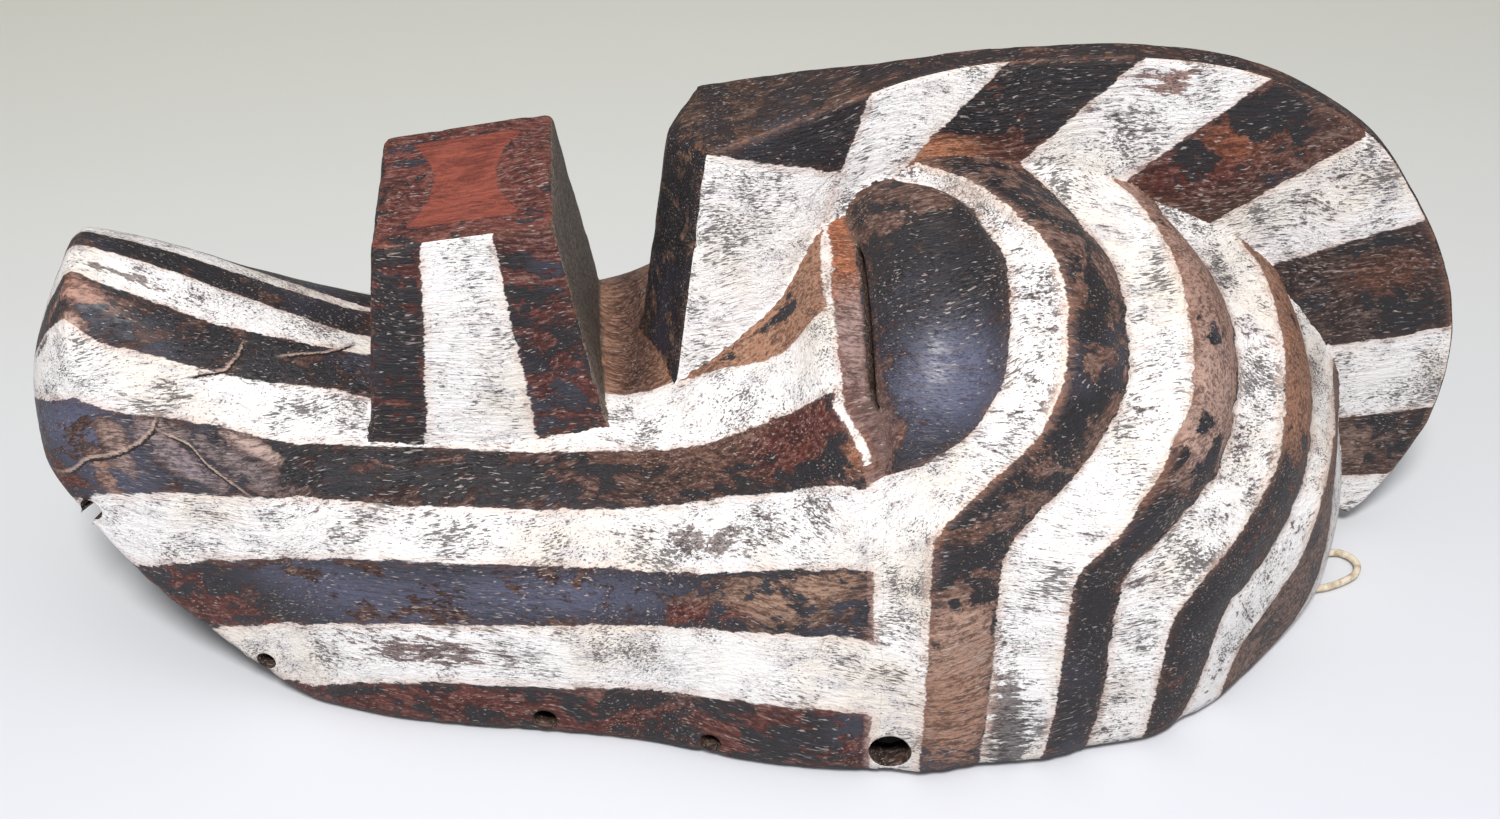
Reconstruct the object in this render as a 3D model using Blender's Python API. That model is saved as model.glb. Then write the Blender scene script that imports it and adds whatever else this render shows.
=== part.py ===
"""Kifwebe mask: one hollow carving of soft wood, lying face up, with its hanging string."""

import math

import bmesh
import bpy
import numpy as np
from mathutils import Vector

# Sizes of the carving and of what is cut through it, in metres.
MASK_LENGTH = 0.489
SIDE_WALL = 0.0105
CROWN_WALL = 0.014
EYE_SLIT_WIDTH = 0.0022
TIE_HOLE_DIAMETERS = [0.0064, 0.0084, 0.0068, 0.0136]
CHIN_HOLE_DIAMETER = 0.0076
CHIN_GAP_WIDTH = 0.0038
STRING_DIAMETER = 0.0028
STRING_CLEARANCE = 0.0008
KNOT_DIAMETER = 0.0068
GAP = 0.0003

# The free form is drawn in millimetres. x runs from chin to crown, and z is up from the table.
# Stations of the body: x, half width at the rim, height of the crown line, height of the rim.
STATIONS = [
    (-241.5, 0.0, 101.0, 86.5),
    (-240.6, 12.0, 107.0, 86.0),
    (-238.5, 23.0, 115.0, 84.5),
    (-233.5, 32.5, 127.0, 79.0),
    (-226.0, 38.5, 141.5, 69.0),
    (-218.7, 42.2, 152.5, 57.5),
    (-208.5, 46.3, 149.5, 43.3),
    (-201.0, 49.5, 146.5, 36.0),
    (-184.0, 55.1, 138.5, 19.8),
    (-174.0, 58.5, 133.0, 10.4),
    (-163.0, 62.3, 127.5, 3.4),
    (-155.0, 65.2, 123.5, 0.0),
    (-129.0, 74.5, 112.0, 0.0),
    (-105.0, 80.0, 107.0, 0.0),
    (-81.5, 84.1, 106.0, 0.0),
    (-48.0, 91.5, 109.0, 0.0),
    (-21.5, 101.3, 119.0, 0.0),
    (3.0, 108.3, 135.0, 0.0),
    (20.0, 111.5, 153.0, 0.0),
    (36.6, 113.8, 163.0, 0.0),
    (62.6, 113.9, 167.5, 0.0),
    (89.7, 111.1, 164.5, 0.0),
    (110.0, 107.8, 157.5, 0.0),
    (131.9, 101.5, 148.0, 0.0),
    (150.0, 90.0, 136.5, 0.0),
    (167.2, 75.8, 122.5, 0.0),
    (180.0, 65.0, 109.0, 1.5),
    (190.0, 55.5, 95.0, 3.5),
    (200.0, 43.0, 77.0, 4.8),
    (208.0, 29.0, 57.0, 5.0),
    (214.0, 17.0, 38.0, 5.0),
    (218.0, 8.0, 20.0, 5.0),
    (220.5, 0.0, 5.0, 5.0),
]
SECTION_POWER = 2.2

# Lines of the carving, as x along the mask against the turn up the section: 0 at the rim, 1 at the crown.
LID_RIDGE = [(0, 26), (0.1, 25.3), (0.31, 26.3), (0.47, 26.5), (0.6, 19.2), (0.74, 18.9), (0.85, 20), (1, 23)]
EYE_SLIT = [(0, 29.3), (0.31, 29.7), (0.44, 31.2), (0.52, 31), (0.59, 28.1), (0.78, 28.7), (0.96, 26.6), (1, 27)]
EYE_EDGE = [
    (0, 33.9), (0.27, 33.3), (0.38, 34.1), (0.445, 37), (0.485, 55.1), (0.53, 63.2), (0.58, 69.1),
    (0.7, 72.4), (0.76, 72.9), (0.865, 65.9), (0.915, 58), (0.95, 46), (0.975, 36), (1, 33),
]
ARRIS_1 = [
    (0, 42.6), (0.26, 42.9), (0.355, 44.4), (0.407, 56), (0.473, 73.4), (0.51, 79.3), (0.56, 84.5),
    (0.63, 87.2), (0.69, 88), (0.745, 86.6), (0.785, 83.6), (0.82, 79), (0.852, 73.8), (0.888, 67.2),
    (0.915, 62), (0.95, 54.3), (0.975, 47.5), (1, 43.5),
]
GROOVE_1 = [
    (0, 62.7), (0.14, 64.5), (0.3, 66.2), (0.357, 74.6), (0.41, 87.8), (0.485, 100.2), (0.545, 107.2),
    (0.605, 110.4), (0.735, 111), (0.805, 108.3), (0.87, 101.1), (0.935, 91), (1, 74),
]
ARRIS_2 = [
    (0, 83.1), (0.09, 85.8), (0.28, 88.4), (0.33, 99.5), (0.391, 109.2), (0.428, 114.3), (0.466, 118.2),
    (0.495, 121.2), (0.536, 125.2), (0.58, 127.4), (0.65, 128.5), (0.745, 128.1), (0.806, 126.9),
    (0.845, 125), (0.9, 121), (0.945, 116.3), (1, 107),
]
GROOVE_2 = [
    (0, 99.1), (0.08, 102.8), (0.265, 106.6), (0.31, 115.8), (0.363, 127), (0.43, 141.5), (0.49, 146.7),
    (0.63, 151.9), (0.71, 152.5), (0.785, 150.7), (0.86, 145.5), (0.92, 136), (1, 120),
]
ARRIS_3 = [
    (0, 118.8), (0.06, 120.4), (0.19, 122.8), (0.256, 131.5), (0.296, 139.2), (0.331, 146), (0.365, 150.8),
    (0.414, 157.5), (0.448, 160.6), (0.502, 162.9), (0.609, 164.9), (0.723, 166.1), (0.8, 165.6),
    (0.886, 163), (0.94, 158.5), (1, 152),
]
GROOVE_3 = [
    (0, 131.8), (0.07, 139.7), (0.187, 148.9), (0.204, 154.5), (0.221, 160.2), (0.249, 166), (0.28, 170.9),
    (0.315, 175.7), (0.357, 179.2), (0.402, 181.7), (0.456, 184), (0.53, 186), (0.612, 187.3), (0.703, 188.2),
    (0.793, 187.6), (0.863, 186), (0.93, 180), (1, 170),
]
ARRIS_4 = [
    (0, 149), (0.05, 151.8), (0.09, 155), (0.123, 163.7), (0.163, 172.9), (0.214, 180.5), (0.285, 184.6),
    (0.341, 187.3), (0.411, 189.5), (0.5, 193), (0.62, 195.8), (0.8, 197.3), (1, 199),
]
GROOVE_4 = [
    (0, 168), (0.022, 185), (0.054, 193.5), (0.125, 198.5), (0.25, 200.5), (0.5, 202.5), (1, 210),
]

# How far each of those lines stands off the body, and how far the stretch after it swells.
LINES = [
    (LID_RIDGE, 3.2, 0.0),
    (EYE_SLIT, -1.2, 0.0),
    (EYE_EDGE, -1.0, -1.0),
    (ARRIS_1, 6.4, 2.2),
    (GROOVE_1, -1.8, -1.0),
    (ARRIS_2, 5.6, 2.0),
    (GROOVE_2, -1.8, -0.9),
    (ARRIS_3, 4.8, 2.2),
    (GROOVE_3, -1.4, -0.4),
    (ARRIS_4, 2.4, 0.5),
    (GROOVE_4, -0.4, 0.0),
]
RELIEF_BY_TURN = [(0, 0.28), (0.2, 0.5), (0.36, 0.95), (0.5, 1), (0.9, 1), (0.97, 0.35), (1, 0)]
LID_BY_TURN = [(0, 0), (0.38, 0), (0.5, 1), (0.9, 1), (1, 0)]
LID_REACH = 11.0
EYE_BULGE = 5.5
EYE_TURNS = (0.45, 0.975)
CHANNEL_DEPTH = 7.0
CHANNEL_X = (-48.0, 9.0)
CHANNEL_HALF_WIDTH = 30.0
ROOT_RISE = 4.5
ROOT_REACH = 7.0
ROOT_BY_X = [(-242, 0), (-45, 0), (-10, 0.5), (20, 1), (190, 1), (214, 0.3), (220.5, 0)]

# Crest and nose, a fin: edge x and z, half thickness there, root x and z, half thickness there.
FIN = [
    (-18.9, 186.8, 22.7, -31.0, 108.0, 35.5),
    (-6.0, 190.0, 19.6, -8.0, 117.0, 31.0),
    (8.0, 193.2, 16.3, 8.0, 132.0, 26.0),
    (20.0, 195.8, 13.4, 19.0, 147.0, 19.0),
    (34.0, 198.4, 9.7, 32.0, 157.5, 12.5),
    (52.0, 202.0, 6.4, 50.0, 161.0, 8.8),
    (75.0, 204.6, 5.0, 70.0, 161.5, 8.0),
    (106.5, 205.0, 4.7, 97.0, 156.0, 8.0),
    (126.0, 203.4, 4.7, 113.0, 149.0, 8.0),
    (147.0, 199.8, 4.7, 127.0, 143.0, 8.0),
    (166.0, 193.3, 4.7, 140.0, 136.0, 8.0),
    (183.0, 184.0, 4.7, 152.0, 128.0, 8.0),
    (202.5, 170.0, 4.7, 163.0, 117.0, 8.0),
    (216.5, 152.5, 4.7, 172.0, 108.0, 8.0),
    (226.5, 137.5, 4.7, 178.0, 101.0, 8.0),
    (235.5, 121.0, 4.7, 184.0, 92.0, 8.0),
    (242.5, 103.0, 4.7, 190.0, 81.0, 8.0),
    (246.6, 84.0, 4.7, 196.0, 70.0, 7.8),
    (247.5, 67.0, 4.7, 201.0, 59.0, 7.4),
    (245.5, 50.0, 4.7, 205.5, 47.0, 7.0),
    (239.0, 31.5, 4.8, 209.5, 35.0, 6.6),
    (231.0, 16.5, 4.8, 212.5, 24.0, 6.2),
    (223.5, 7.6, 4.8, 214.0, 13.0, 5.6),
]
NOSE_PROW = (-30.0, 184.6, -41.0, 106.0)

# Mouth, a block: x and z and half width of its chin end and its nose end, on top and at its foot.
MOUTH_TOP = [(-121.9, 165.7, 34.4), (-65.8, 172.0, 35.2)]
MOUTH_FOOT = [(-130.5, 92.0, 42.0), (-51.5, 92.0, 43.0)]

# Places along the rim, x and height over the table: the holes for ties on both sides, the chin's
# broken hole, and where the gap from that hole meets the rim's edge.
TIE_HOLES = [(-172.6, 18.2), (-79.3, 7.6), (-25.0, 8.4), (32.8, 13.4)]
CHIN_HOLE = (-222.9, 73.5)
CHIN_GAP = (-228.0, 66.0)

# Route of the string, in metres: knot, hole, across the hollow, out under the rim, back, hole, knot.
STRING_ROUTE = [
    (0.2192, 0.0178, 0.0150),
    (0.2142, 0.0162, 0.0149),
    (0.2092, 0.0146, 0.0148),
    (0.2042, 0.0130, 0.0147),
    (0.1992, 0.0114, 0.0144),
    (0.1948, 0.0092, 0.0124),
    (0.1924, 0.0062, 0.0082),
    (0.1916, 0.0018, 0.0040),
    (0.1924, -0.0040, 0.0020),
    (0.1960, -0.0104, 0.0018),
    (0.2015, -0.0160, 0.0018),
    (0.2075, -0.0194, 0.0018),
    (0.2125, -0.0202, 0.0020),
    (0.2163, -0.0234, 0.0022),
    (0.2172, -0.0280, 0.0022),
    (0.2146, -0.0325, 0.0020),
    (0.2088, -0.0357, 0.0018),
    (0.2016, -0.0380, 0.0018),
    (0.1940, -0.0384, 0.0018),
    (0.1868, -0.0362, 0.0018),
    (0.1812, -0.0308, 0.0018),
    (0.1774, -0.0226, 0.0018),
    (0.1756, -0.0130, 0.0018),
    (0.1750, -0.0030, 0.0018),
    (0.1756, 0.0070, 0.0020),
    (0.1772, 0.0150, 0.0036),
    (0.1794, 0.0206, 0.0078),
    (0.1828, 0.0246, 0.0124),
    (0.1875, 0.0280, 0.0146),
    (0.1929, 0.0316, 0.0150),
    (0.1983, 0.0353, 0.0150),
    (0.2036, 0.0389, 0.0150),
]
STRING_POINTS = 78

# Fineness of the faceted form.
ROWS = 24
HOLLOW_ROWS = 9
CHIN_COLUMNS = 26
COLUMNS_AFTER_LINE = [2, 5, 3, 3, 2, 3, 2, 3, 2, 2, 3]


def through(points, value):
    """Smooth curve through the points that never overshoots them."""
    x = np.array([p[0] for p in points], float)
    y = np.array([p[1] for p in points], float)
    h = np.diff(x)
    slope = np.diff(y) / h
    rate = np.zeros_like(y)
    rate[0], rate[-1] = slope[0], slope[-1]
    for i in range(1, len(y) - 1):
        if slope[i - 1] * slope[i] > 0:
            before, after = 2 * h[i] + h[i - 1], h[i] + 2 * h[i - 1]
            rate[i] = (before + after) / (before / slope[i - 1] + after / slope[i])
    v = np.clip(value, x[0], x[-1])
    i = np.clip(np.searchsorted(x, v) - 1, 0, len(h) - 1)
    t = (v - x[i]) / h[i]
    return (
        (1 + 2 * t) * (1 - t) ** 2 * y[i] + t * (1 - t) ** 2 * h[i] * rate[i]
        + t * t * (3 - 2 * t) * y[i + 1] + t * t * (t - 1) * h[i] * rate[i + 1]
    )


HALF_WIDTHS = [(s[0], s[1]) for s in STATIONS]
CROWN_HEIGHTS = [(s[0], s[2]) for s in STATIONS]
RIM_HEIGHTS = [(s[0], s[3]) for s in STATIONS]
CHIN_TIP = STATIONS[0][0]
HEAD_END = STATIONS[-1][0]
CREST_BACK = max(f[0] for f in FIN)
SCALE = MASK_LENGTH / (CREST_BACK - CHIN_TIP)
MIDDLE = Vector(((CREST_BACK + CHIN_TIP) / 2, 0, 0))


def section_point(x, turn, half_width, crown, rim):
    """Point of a rounded section on the near side, y negative."""
    angle = turn * math.pi / 2
    share = 2 / SECTION_POWER
    y = -half_width * math.cos(angle) ** share if turn < 1 else 0.0
    return Vector((x, y, rim + (crown - rim) * math.sin(angle) ** share))


def body_point(x, turn):
    return section_point(x, turn, through(HALF_WIDTHS, x), through(CROWN_HEIGHTS, x), through(RIM_HEIGHTS, x))


def body_normal(x, turn):
    """Outward direction of the plain body, from points a little way along and up."""
    step_x, step_turn = 0.4, 0.004
    low, high = max(turn - step_turn, 0.0), min(turn + step_turn, 1.0)
    along = body_point(min(x + step_x, HEAD_END), turn) - body_point(max(x - step_x, CHIN_TIP), turn)
    up = body_point(x, high) - body_point(x, low)
    normal = along.cross(up)
    if turn >= 1.0:
        normal.y = 0.0
    if turn <= 0.0:
        normal.z = 0.0
    return normal.normalized() if normal.length > 1e-9 else Vector((0, 0, 0))


def lens(share, turn):
    """Swelling of the eye between its slit and its edge, round at both ends."""
    low, high = EYE_TURNS
    end = (turn - low) / (high - low)
    if not 0 < end < 1:
        return 0.0
    return (4 * share * (1 - share)) ** 0.6 * min(1.0, 9 * end * (1 - end)) ** 0.7


def relief(line, share, x, turn, y):
    """Height of the carving over the body; line -1 is the cheek, before the lid."""
    level = through(RELIEF_BY_TURN, turn)
    across, along = y / CHANNEL_HALF_WIDTH, (x - CHANNEL_X[0]) / CHANNEL_X[1]
    channel = CHANNEL_DEPTH * math.exp(-(across ** 4) - along ** 2)
    lid = LINES[0][1] * through(LID_BY_TURN, turn)
    root = ROOT_RISE * through(ROOT_BY_X, x) * math.exp(-max(abs(y) - 6.0, 0.0) / ROOT_REACH)
    if line < 0:
        ahead = through(LID_RIDGE, turn) - x
        return root - channel + lid * math.exp(-((ahead / LID_REACH) ** 2))
    start, swell = LINES[line][1] * level, LINES[line][2] * level
    end = LINES[line + 1][1] * level if line + 1 < len(LINES) else 0.0
    if line == 0:
        start = lid
    height = start + (end - start) * share + swell * 4 * share * (1 - share)
    if line == 1:
        height += EYE_BULGE * lens(share, turn)
    return root + height


def columns():
    """Each column of the grid, as the line it follows and its share of the way to the next one."""
    grid = [(-1, (i / CHIN_COLUMNS) ** 1.35) for i in range(CHIN_COLUMNS)]
    for line, count in enumerate(COLUMNS_AFTER_LINE):
        grid += [(line, i / count) for i in range(count)]
    grid.append((len(LINES) - 1, 1.0))
    return grid


def line_x(line, turn):
    if line < 0:
        return CHIN_TIP
    if line >= len(LINES):
        return HEAD_END
    return float(through(LINES[line][0], turn))


def rows(count):
    """Turns up the section, closer together near the crown."""
    return [1 - (1 - j / count) ** 1.25 for j in range(count + 1)]


def carved_point(line, share, turn):
    x = line_x(line, turn) * (1 - share) + line_x(line + 1, turn) * share
    point = body_point(x, turn)
    carved = point + body_normal(x, turn) * relief(line, share, x, turn, point.y)
    carved.y = min(carved.y, 0.0)
    if turn >= 1.0:
        carved.y = 0.0
    if turn <= 0.0:
        carved.z = point.z
    return carved


class Skin:
    """Faces over shared points; points that fall together become one."""

    def __init__(self):
        self.points = []
        self.faces = []
        self.places = {}

    def add(self, point):
        key = tuple(round(c * 1000) for c in point)
        if key not in self.places:
            self.places[key] = len(self.points)
            self.points.append(tuple(point))
        return self.places[key]

    def face(self, *corners):
        kept = []
        for corner in corners:
            index = self.add(corner)
            if index not in kept:
                kept.append(index)
        if len(kept) > 2:
            self.faces.append(kept)

    def both_sides(self, *corners):
        """A face on the near side, and its mirror image on the far side."""
        self.face(*corners)
        self.face(*[Vector((c[0], -c[1], c[2])) for c in reversed(corners)])


def dome(grid, floor_drop):
    """Closed form under a grid of near side columns: the dome, its mirror image and a floor."""
    skin = Skin()
    for left, right in zip(grid, grid[1:]):
        for j in range(len(left) - 1):
            skin.both_sides(left[j], right[j], right[j + 1], left[j + 1])
        feet = [Vector((c[0].x, c[0].y, c[0].z - floor_drop)) for c in (left, right)]
        if floor_drop:
            skin.both_sides(feet[0], feet[1], right[0], left[0])
        middles = [Vector((foot.x, 0, foot.z)) for foot in feet]
        skin.both_sides(middles[0], middles[1], feet[1], feet[0])
    return skin


def make_object(name, skin, material, cutter=False, smooth_angle=0.5):
    mesh = bpy.data.meshes.new(name)
    mesh.from_pydata([(Vector(p) - MIDDLE) * SCALE for p in skin.points], [], skin.faces)
    shell = bmesh.new()
    shell.from_mesh(mesh)
    bmesh.ops.recalc_face_normals(shell, faces=shell.faces)
    shell.to_mesh(mesh)
    shell.free()
    mesh.materials.append(material)
    mesh.shade_smooth()
    mesh.set_sharp_from_angle(angle=smooth_angle)
    made = bpy.data.objects.new(name, mesh)
    bpy.context.scene.collection.objects.link(made)
    if cutter:
        made.hide_render = True
        made.display_type = 'WIRE'
    return made


def finish(name, colour, roughness):
    material = bpy.data.materials.new(name)
    material.use_nodes = True
    shader = material.node_tree.nodes["Principled BSDF"]
    shader.inputs["Base Color"].default_value = (*colour, 1)
    shader.inputs["Roughness"].default_value = roughness
    return material


def combine(target, tool, operation):
    """Boolean of a hidden tool on the target."""
    modifier = target.modifiers.new(tool.name, 'BOOLEAN')
    modifier.operation = operation
    modifier.object = tool
    modifier.solver = 'EXACT'


def carved_body(material):
    turns = rows(ROWS)
    grid = [[carved_point(line, share, turn) for turn in turns] for line, share in columns()]
    return make_object("mask", dome(grid, 0.0), material)


def inset(table, wall, x):
    """Outline moved inwards by a wall's thickness, measured square to the outline."""
    steps = np.linspace(-wall, wall, 81)
    return float(np.min(through(table, x + steps) - np.sqrt(wall ** 2 - steps ** 2)))


def hollow_end(start, stop, side, crown):
    """Where the inset plan or crown line closes, found by halving."""
    for _ in range(40):
        middle = (start + stop) / 2
        width = inset(HALF_WIDTHS, side, middle)
        height = inset(CROWN_HEIGHTS, crown, middle) - through(RIM_HEIGHTS, middle)
        if middle < CHIN_TIP or middle > HEAD_END or width < 0.05 or height < 1.0:
            stop = middle
        else:
            start = middle
    return start


def hollow(material):
    """The carved-out back, which the wearer's face goes into."""
    side, crown = SIDE_WALL / SCALE, CROWN_WALL / SCALE
    first = max(hollow_end(0, CHIN_TIP, side, crown), CHIN_TIP + side)
    last = min(hollow_end(0, HEAD_END, side, crown), HEAD_END - side)
    turns = rows(HOLLOW_ROWS)
    count = 40
    grid = []
    for i in range(count + 1):
        x = first + (last - first) * (1 - math.cos(math.pi * i / count)) / 2
        width = 0.0 if i in (0, count) else max(inset(HALF_WIDTHS, side, x), 0.05)
        rim = float(through(RIM_HEIGHTS, x))
        height = max(inset(CROWN_HEIGHTS, crown, x), rim + 0.5)
        grid.append([section_point(x, turn, width, height, rim) for turn in turns])
    return make_object("hollow_tool", dome(grid, 60.0), material, cutter=True)


def fin(material):
    """Crest and nose as one fin: flanks, edge, root, the nose's pointed front and the lower end."""
    skin = Skin()
    edges = [Vector((ex, -et, ez)) for ex, ez, et, rx, rz, rt in FIN]
    roots = [Vector((rx, -rt, rz)) for ex, ez, et, rx, rz, rt in FIN]
    middles = [(Vector((e.x, 0, e.z)), Vector((r.x, 0, r.z))) for e, r in zip(edges, roots)]
    for i in range(len(FIN) - 1):
        skin.both_sides(roots[i], roots[i + 1], edges[i + 1], edges[i])
        skin.both_sides(edges[i], edges[i + 1], middles[i + 1][0], middles[i][0])
        skin.both_sides(roots[i + 1], roots[i], middles[i][1], middles[i + 1][1])
    skin.both_sides(roots[-1], middles[-1][1], middles[-1][0], edges[-1])
    top = Vector((NOSE_PROW[0], 0, NOSE_PROW[1]))
    foot = Vector((NOSE_PROW[2], 0, NOSE_PROW[3]))
    skin.both_sides(foot, roots[0], edges[0], top)
    skin.both_sides(top, edges[0], middles[0][0])
    skin.both_sides(roots[0], foot, middles[0][1])
    return make_object("fin_tool", skin, material, cutter=True)


def mouth(material):
    skin = Skin()
    (chin_top, nose_top), (chin_foot, nose_foot) = [
        [Vector((x, -half, z)) for x, z, half in level] for level in (MOUTH_TOP, MOUTH_FOOT)
    ]

    def middle(corner):
        return Vector((corner.x, 0, corner.z))

    skin.both_sides(chin_foot, nose_foot, nose_top, chin_top)
    skin.both_sides(chin_top, nose_top, middle(nose_top), middle(chin_top))
    skin.both_sides(nose_foot, chin_foot, middle(chin_foot), middle(nose_foot))
    skin.both_sides(middle(chin_foot), chin_foot, chin_top, middle(chin_top))
    skin.both_sides(nose_foot, middle(nose_foot), middle(nose_top), nose_top)
    return make_object("mouth_tool", skin, material, cutter=True)


def bar(skin, start, end, radius, sides=16):
    """Round bar between two points, closed at both ends."""
    axis = (end - start).normalized()
    across = axis.cross(Vector((0, 0, 1))).normalized()
    up = across.cross(axis)
    rings = []
    for centre in (start, end):
        angles = [2 * math.pi * k / sides for k in range(sides)]
        rings.append([centre + across * math.cos(a) * radius + up * math.sin(a) * radius for a in angles])
    for k in range(sides):
        after = (k + 1) % sides
        skin.face(rings[0][after], rings[0][k], rings[1][k], rings[1][after])
    skin.face(*rings[0])
    skin.face(*reversed(rings[1]))


def turn_at_height(x, height):
    """Turn up the section where the body reaches a height."""
    crown, rim = float(through(CROWN_HEIGHTS, x)), float(through(RIM_HEIGHTS, x))
    share = max(height - rim, 0.0) / (crown - rim)
    return math.asin(min(share, 1.0) ** (SECTION_POWER / 2)) * 2 / math.pi


def tie_holes(material):
    """Round bars square to the wall, where the rim is pierced on both sides."""
    skin = Skin()
    reach = 3 * SIDE_WALL / SCALE
    for (x, height), diameter in zip(TIE_HOLES, TIE_HOLE_DIAMETERS):
        turn = turn_at_height(x, height)
        place, out = body_point(x, turn), body_normal(x, turn)
        out = Vector((out.x, out.y, 0)).normalized()
        for flip in (1, -1):
            ends = [place + out * reach, place - out * reach]
            outer, inner = [Vector((e.x, e.y * flip, e.z)) for e in ends]
            bar(skin, inner, outer, diameter / SCALE / 2)
    return make_object("tie_holes_tool", skin, material, cutter=True)


def chin_hole_place():
    """Middle of the chin's hole on the near side of the body, and the way out of the wall there."""
    x, height = CHIN_HOLE
    turn = turn_at_height(x, height)
    return body_point(x, turn), body_normal(x, turn)


def chin_hole(material):
    skin = Skin()
    place, out = chin_hole_place()
    reach = 2 * SIDE_WALL / SCALE
    bar(skin, place - out * reach, place + out * reach, CHIN_HOLE_DIAMETER / SCALE / 2)
    return make_object("chin_hole_tool", skin, material, cutter=True)


def chin_gap(material):
    """The break that joins the chin's hole to the rim's edge, wider towards the edge."""
    skin = Skin()
    place, out = chin_hole_place()
    x, height = CHIN_GAP
    towards = Vector((x, place.y, height)) - place
    across = out.cross(towards).normalized() * CHIN_GAP_WIDTH / SCALE / 2
    reach = 2 * SIDE_WALL / SCALE
    start, end = place, place + towards * 2.2
    corners = [start - across, start + across, end + across * 1.5, end - across * 1.5]
    low, high = [[c + out * depth for c in corners] for depth in (-reach, reach)]
    for k in range(4):
        after = (k + 1) % 4
        skin.face(low[k], low[after], high[after], high[k])
    skin.face(*reversed(low))
    skin.face(*high)
    return make_object("chin_gap_tool", skin, material, cutter=True)


def eye_slits(material):
    """Narrow slits along the straight side of each eye, right through the wall."""
    skin = Skin()
    half = EYE_SLIT_WIDTH / SCALE / 2
    reach_in = 2.2 * CROWN_WALL / SCALE
    turns = np.linspace(0.56, 0.86, 9)
    frames = []
    for turn in turns:
        x = float(through(EYE_SLIT, turn))
        place, out = body_point(x, turn), body_normal(x, turn)
        along = Vector((1, 0, 0)) - out * out.x
        along.normalize()
        frames.append([
            place - along * half - out * reach_in, place + along * half - out * reach_in,
            place + along * half + out * 14, place - along * half + out * 14,
        ])
    for low, high in zip(frames, frames[1:]):
        for k in range(4):
            after = (k + 1) % 4
            skin.both_sides(low[after], low[k], high[k], high[after])
    skin.both_sides(*frames[0])
    skin.both_sides(*reversed(frames[-1]))
    return make_object("eye_slits_tool", skin, material, cutter=True)


def smooth_route(points, count):
    """Evenly spaced points on a smooth curve through the route."""
    route = [Vector(p) for p in points]
    route = [route[0] * 2 - route[1]] + route + [route[-1] * 2 - route[-2]]
    fine = []
    for a, b, c, d in zip(route, route[1:], route[2:], route[3:]):
        for k in range(12):
            t = k / 12
            fine.append(
                0.5 * (2 * b + (c - a) * t + (2 * a - 5 * b + 4 * c - d) * t * t
                       + (3 * b - a - 3 * c + d) * t ** 3)
            )
    fine.append(route[-2])
    lengths = [0.0]
    for before, after in zip(fine, fine[1:]):
        lengths.append(lengths[-1] + (after - before).length)
    wanted = np.linspace(0, lengths[-1], count)
    return [Vector([np.interp(s, lengths, [p[k] for p in fine]) for k in range(3)]) for s in wanted]


def string_holes(material):
    """Two small holes in the head end's wall, along the string's first and last stretches."""
    skin = Skin()
    radius = (STRING_DIAMETER / 2 + STRING_CLEARANCE) / SCALE
    for outer, inner in ((STRING_ROUTE[0], STRING_ROUTE[4]), (STRING_ROUTE[-1], STRING_ROUTE[-4])):
        out, into = Vector(outer) / SCALE + MIDDLE, Vector(inner) / SCALE + MIDDLE
        stretch = (out - into).normalized() * 4
        bar(skin, into - stretch, out + stretch, radius)
    return make_object("string_holes_tool", skin, material, cutter=True)


def hanging_string(material):
    curve = bpy.data.curves.new("hanging_string", 'CURVE')
    curve.dimensions = '3D'
    curve.bevel_depth = STRING_DIAMETER / 2
    curve.bevel_resolution = 2
    curve.use_fill_caps = True
    points = smooth_route(STRING_ROUTE, STRING_POINTS)
    spline = curve.splines.new('POLY')
    spline.points.add(len(points) - 1)
    for place, point in zip(spline.points, points):
        place.co = (*point, 1)
    curve.materials.append(material)
    made = bpy.data.objects.new("hanging_string", curve)
    bpy.context.scene.collection.objects.link(made)
    return made


def knot(name, end, before, material):
    """A stopper knot just past the string's end, as a short turned form."""
    out = (Vector(end) - Vector(before)).normalized()
    radius = KNOT_DIAMETER / 2
    centre = Vector(end) + out * (radius * 0.8 + GAP)
    across = out.cross(Vector((0, 0, 1))).normalized()
    up = across.cross(out)
    skin = Skin()
    profile = [(-0.8, 0.0), (-0.8, 0.55), (-0.35, 0.93), (0.25, 0.97), (0.7, 0.62), (0.85, 0.0)]
    sides = 12
    rings = []
    for along, wide in profile:
        ring = []
        for k in range(sides):
            angle = 2 * math.pi * k / sides
            ring.append(centre + out * along * radius
                        + (across * math.cos(angle) + up * math.sin(angle)) * wide * radius)
        rings.append([p / SCALE + MIDDLE for p in ring])
    for low, high in zip(rings, rings[1:]):
        for k in range(sides):
            after = (k + 1) % sides
            skin.face(low[after], low[k], high[k], high[after])
    return make_object(name, skin, material)


def clear_scene():
    for old in list(bpy.data.objects):
        bpy.data.objects.remove(old, do_unlink=True)


def build():
    clear_scene()
    painted_wood = finish("painted_wood", (0.42, 0.36, 0.32), 0.7)
    cotton = finish("cotton", (0.78, 0.72, 0.6), 0.9)
    mask = carved_body(painted_wood)
    for tool in (fin(painted_wood), mouth(painted_wood)):
        combine(mask, tool, 'UNION')
    cuts = (hollow, tie_holes, chin_hole, chin_gap, eye_slits, string_holes)
    for cut in cuts:
        combine(mask, cut(painted_wood), 'DIFFERENCE')
    hanging_string(cotton)
    knot("string_knot_1", STRING_ROUTE[0], STRING_ROUTE[1], cotton)
    knot("string_knot_2", STRING_ROUTE[-1], STRING_ROUTE[-2], cotton)


build()
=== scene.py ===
import math

import bmesh
import bpy
import numpy as np
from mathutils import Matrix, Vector, kdtree, noise


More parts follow.
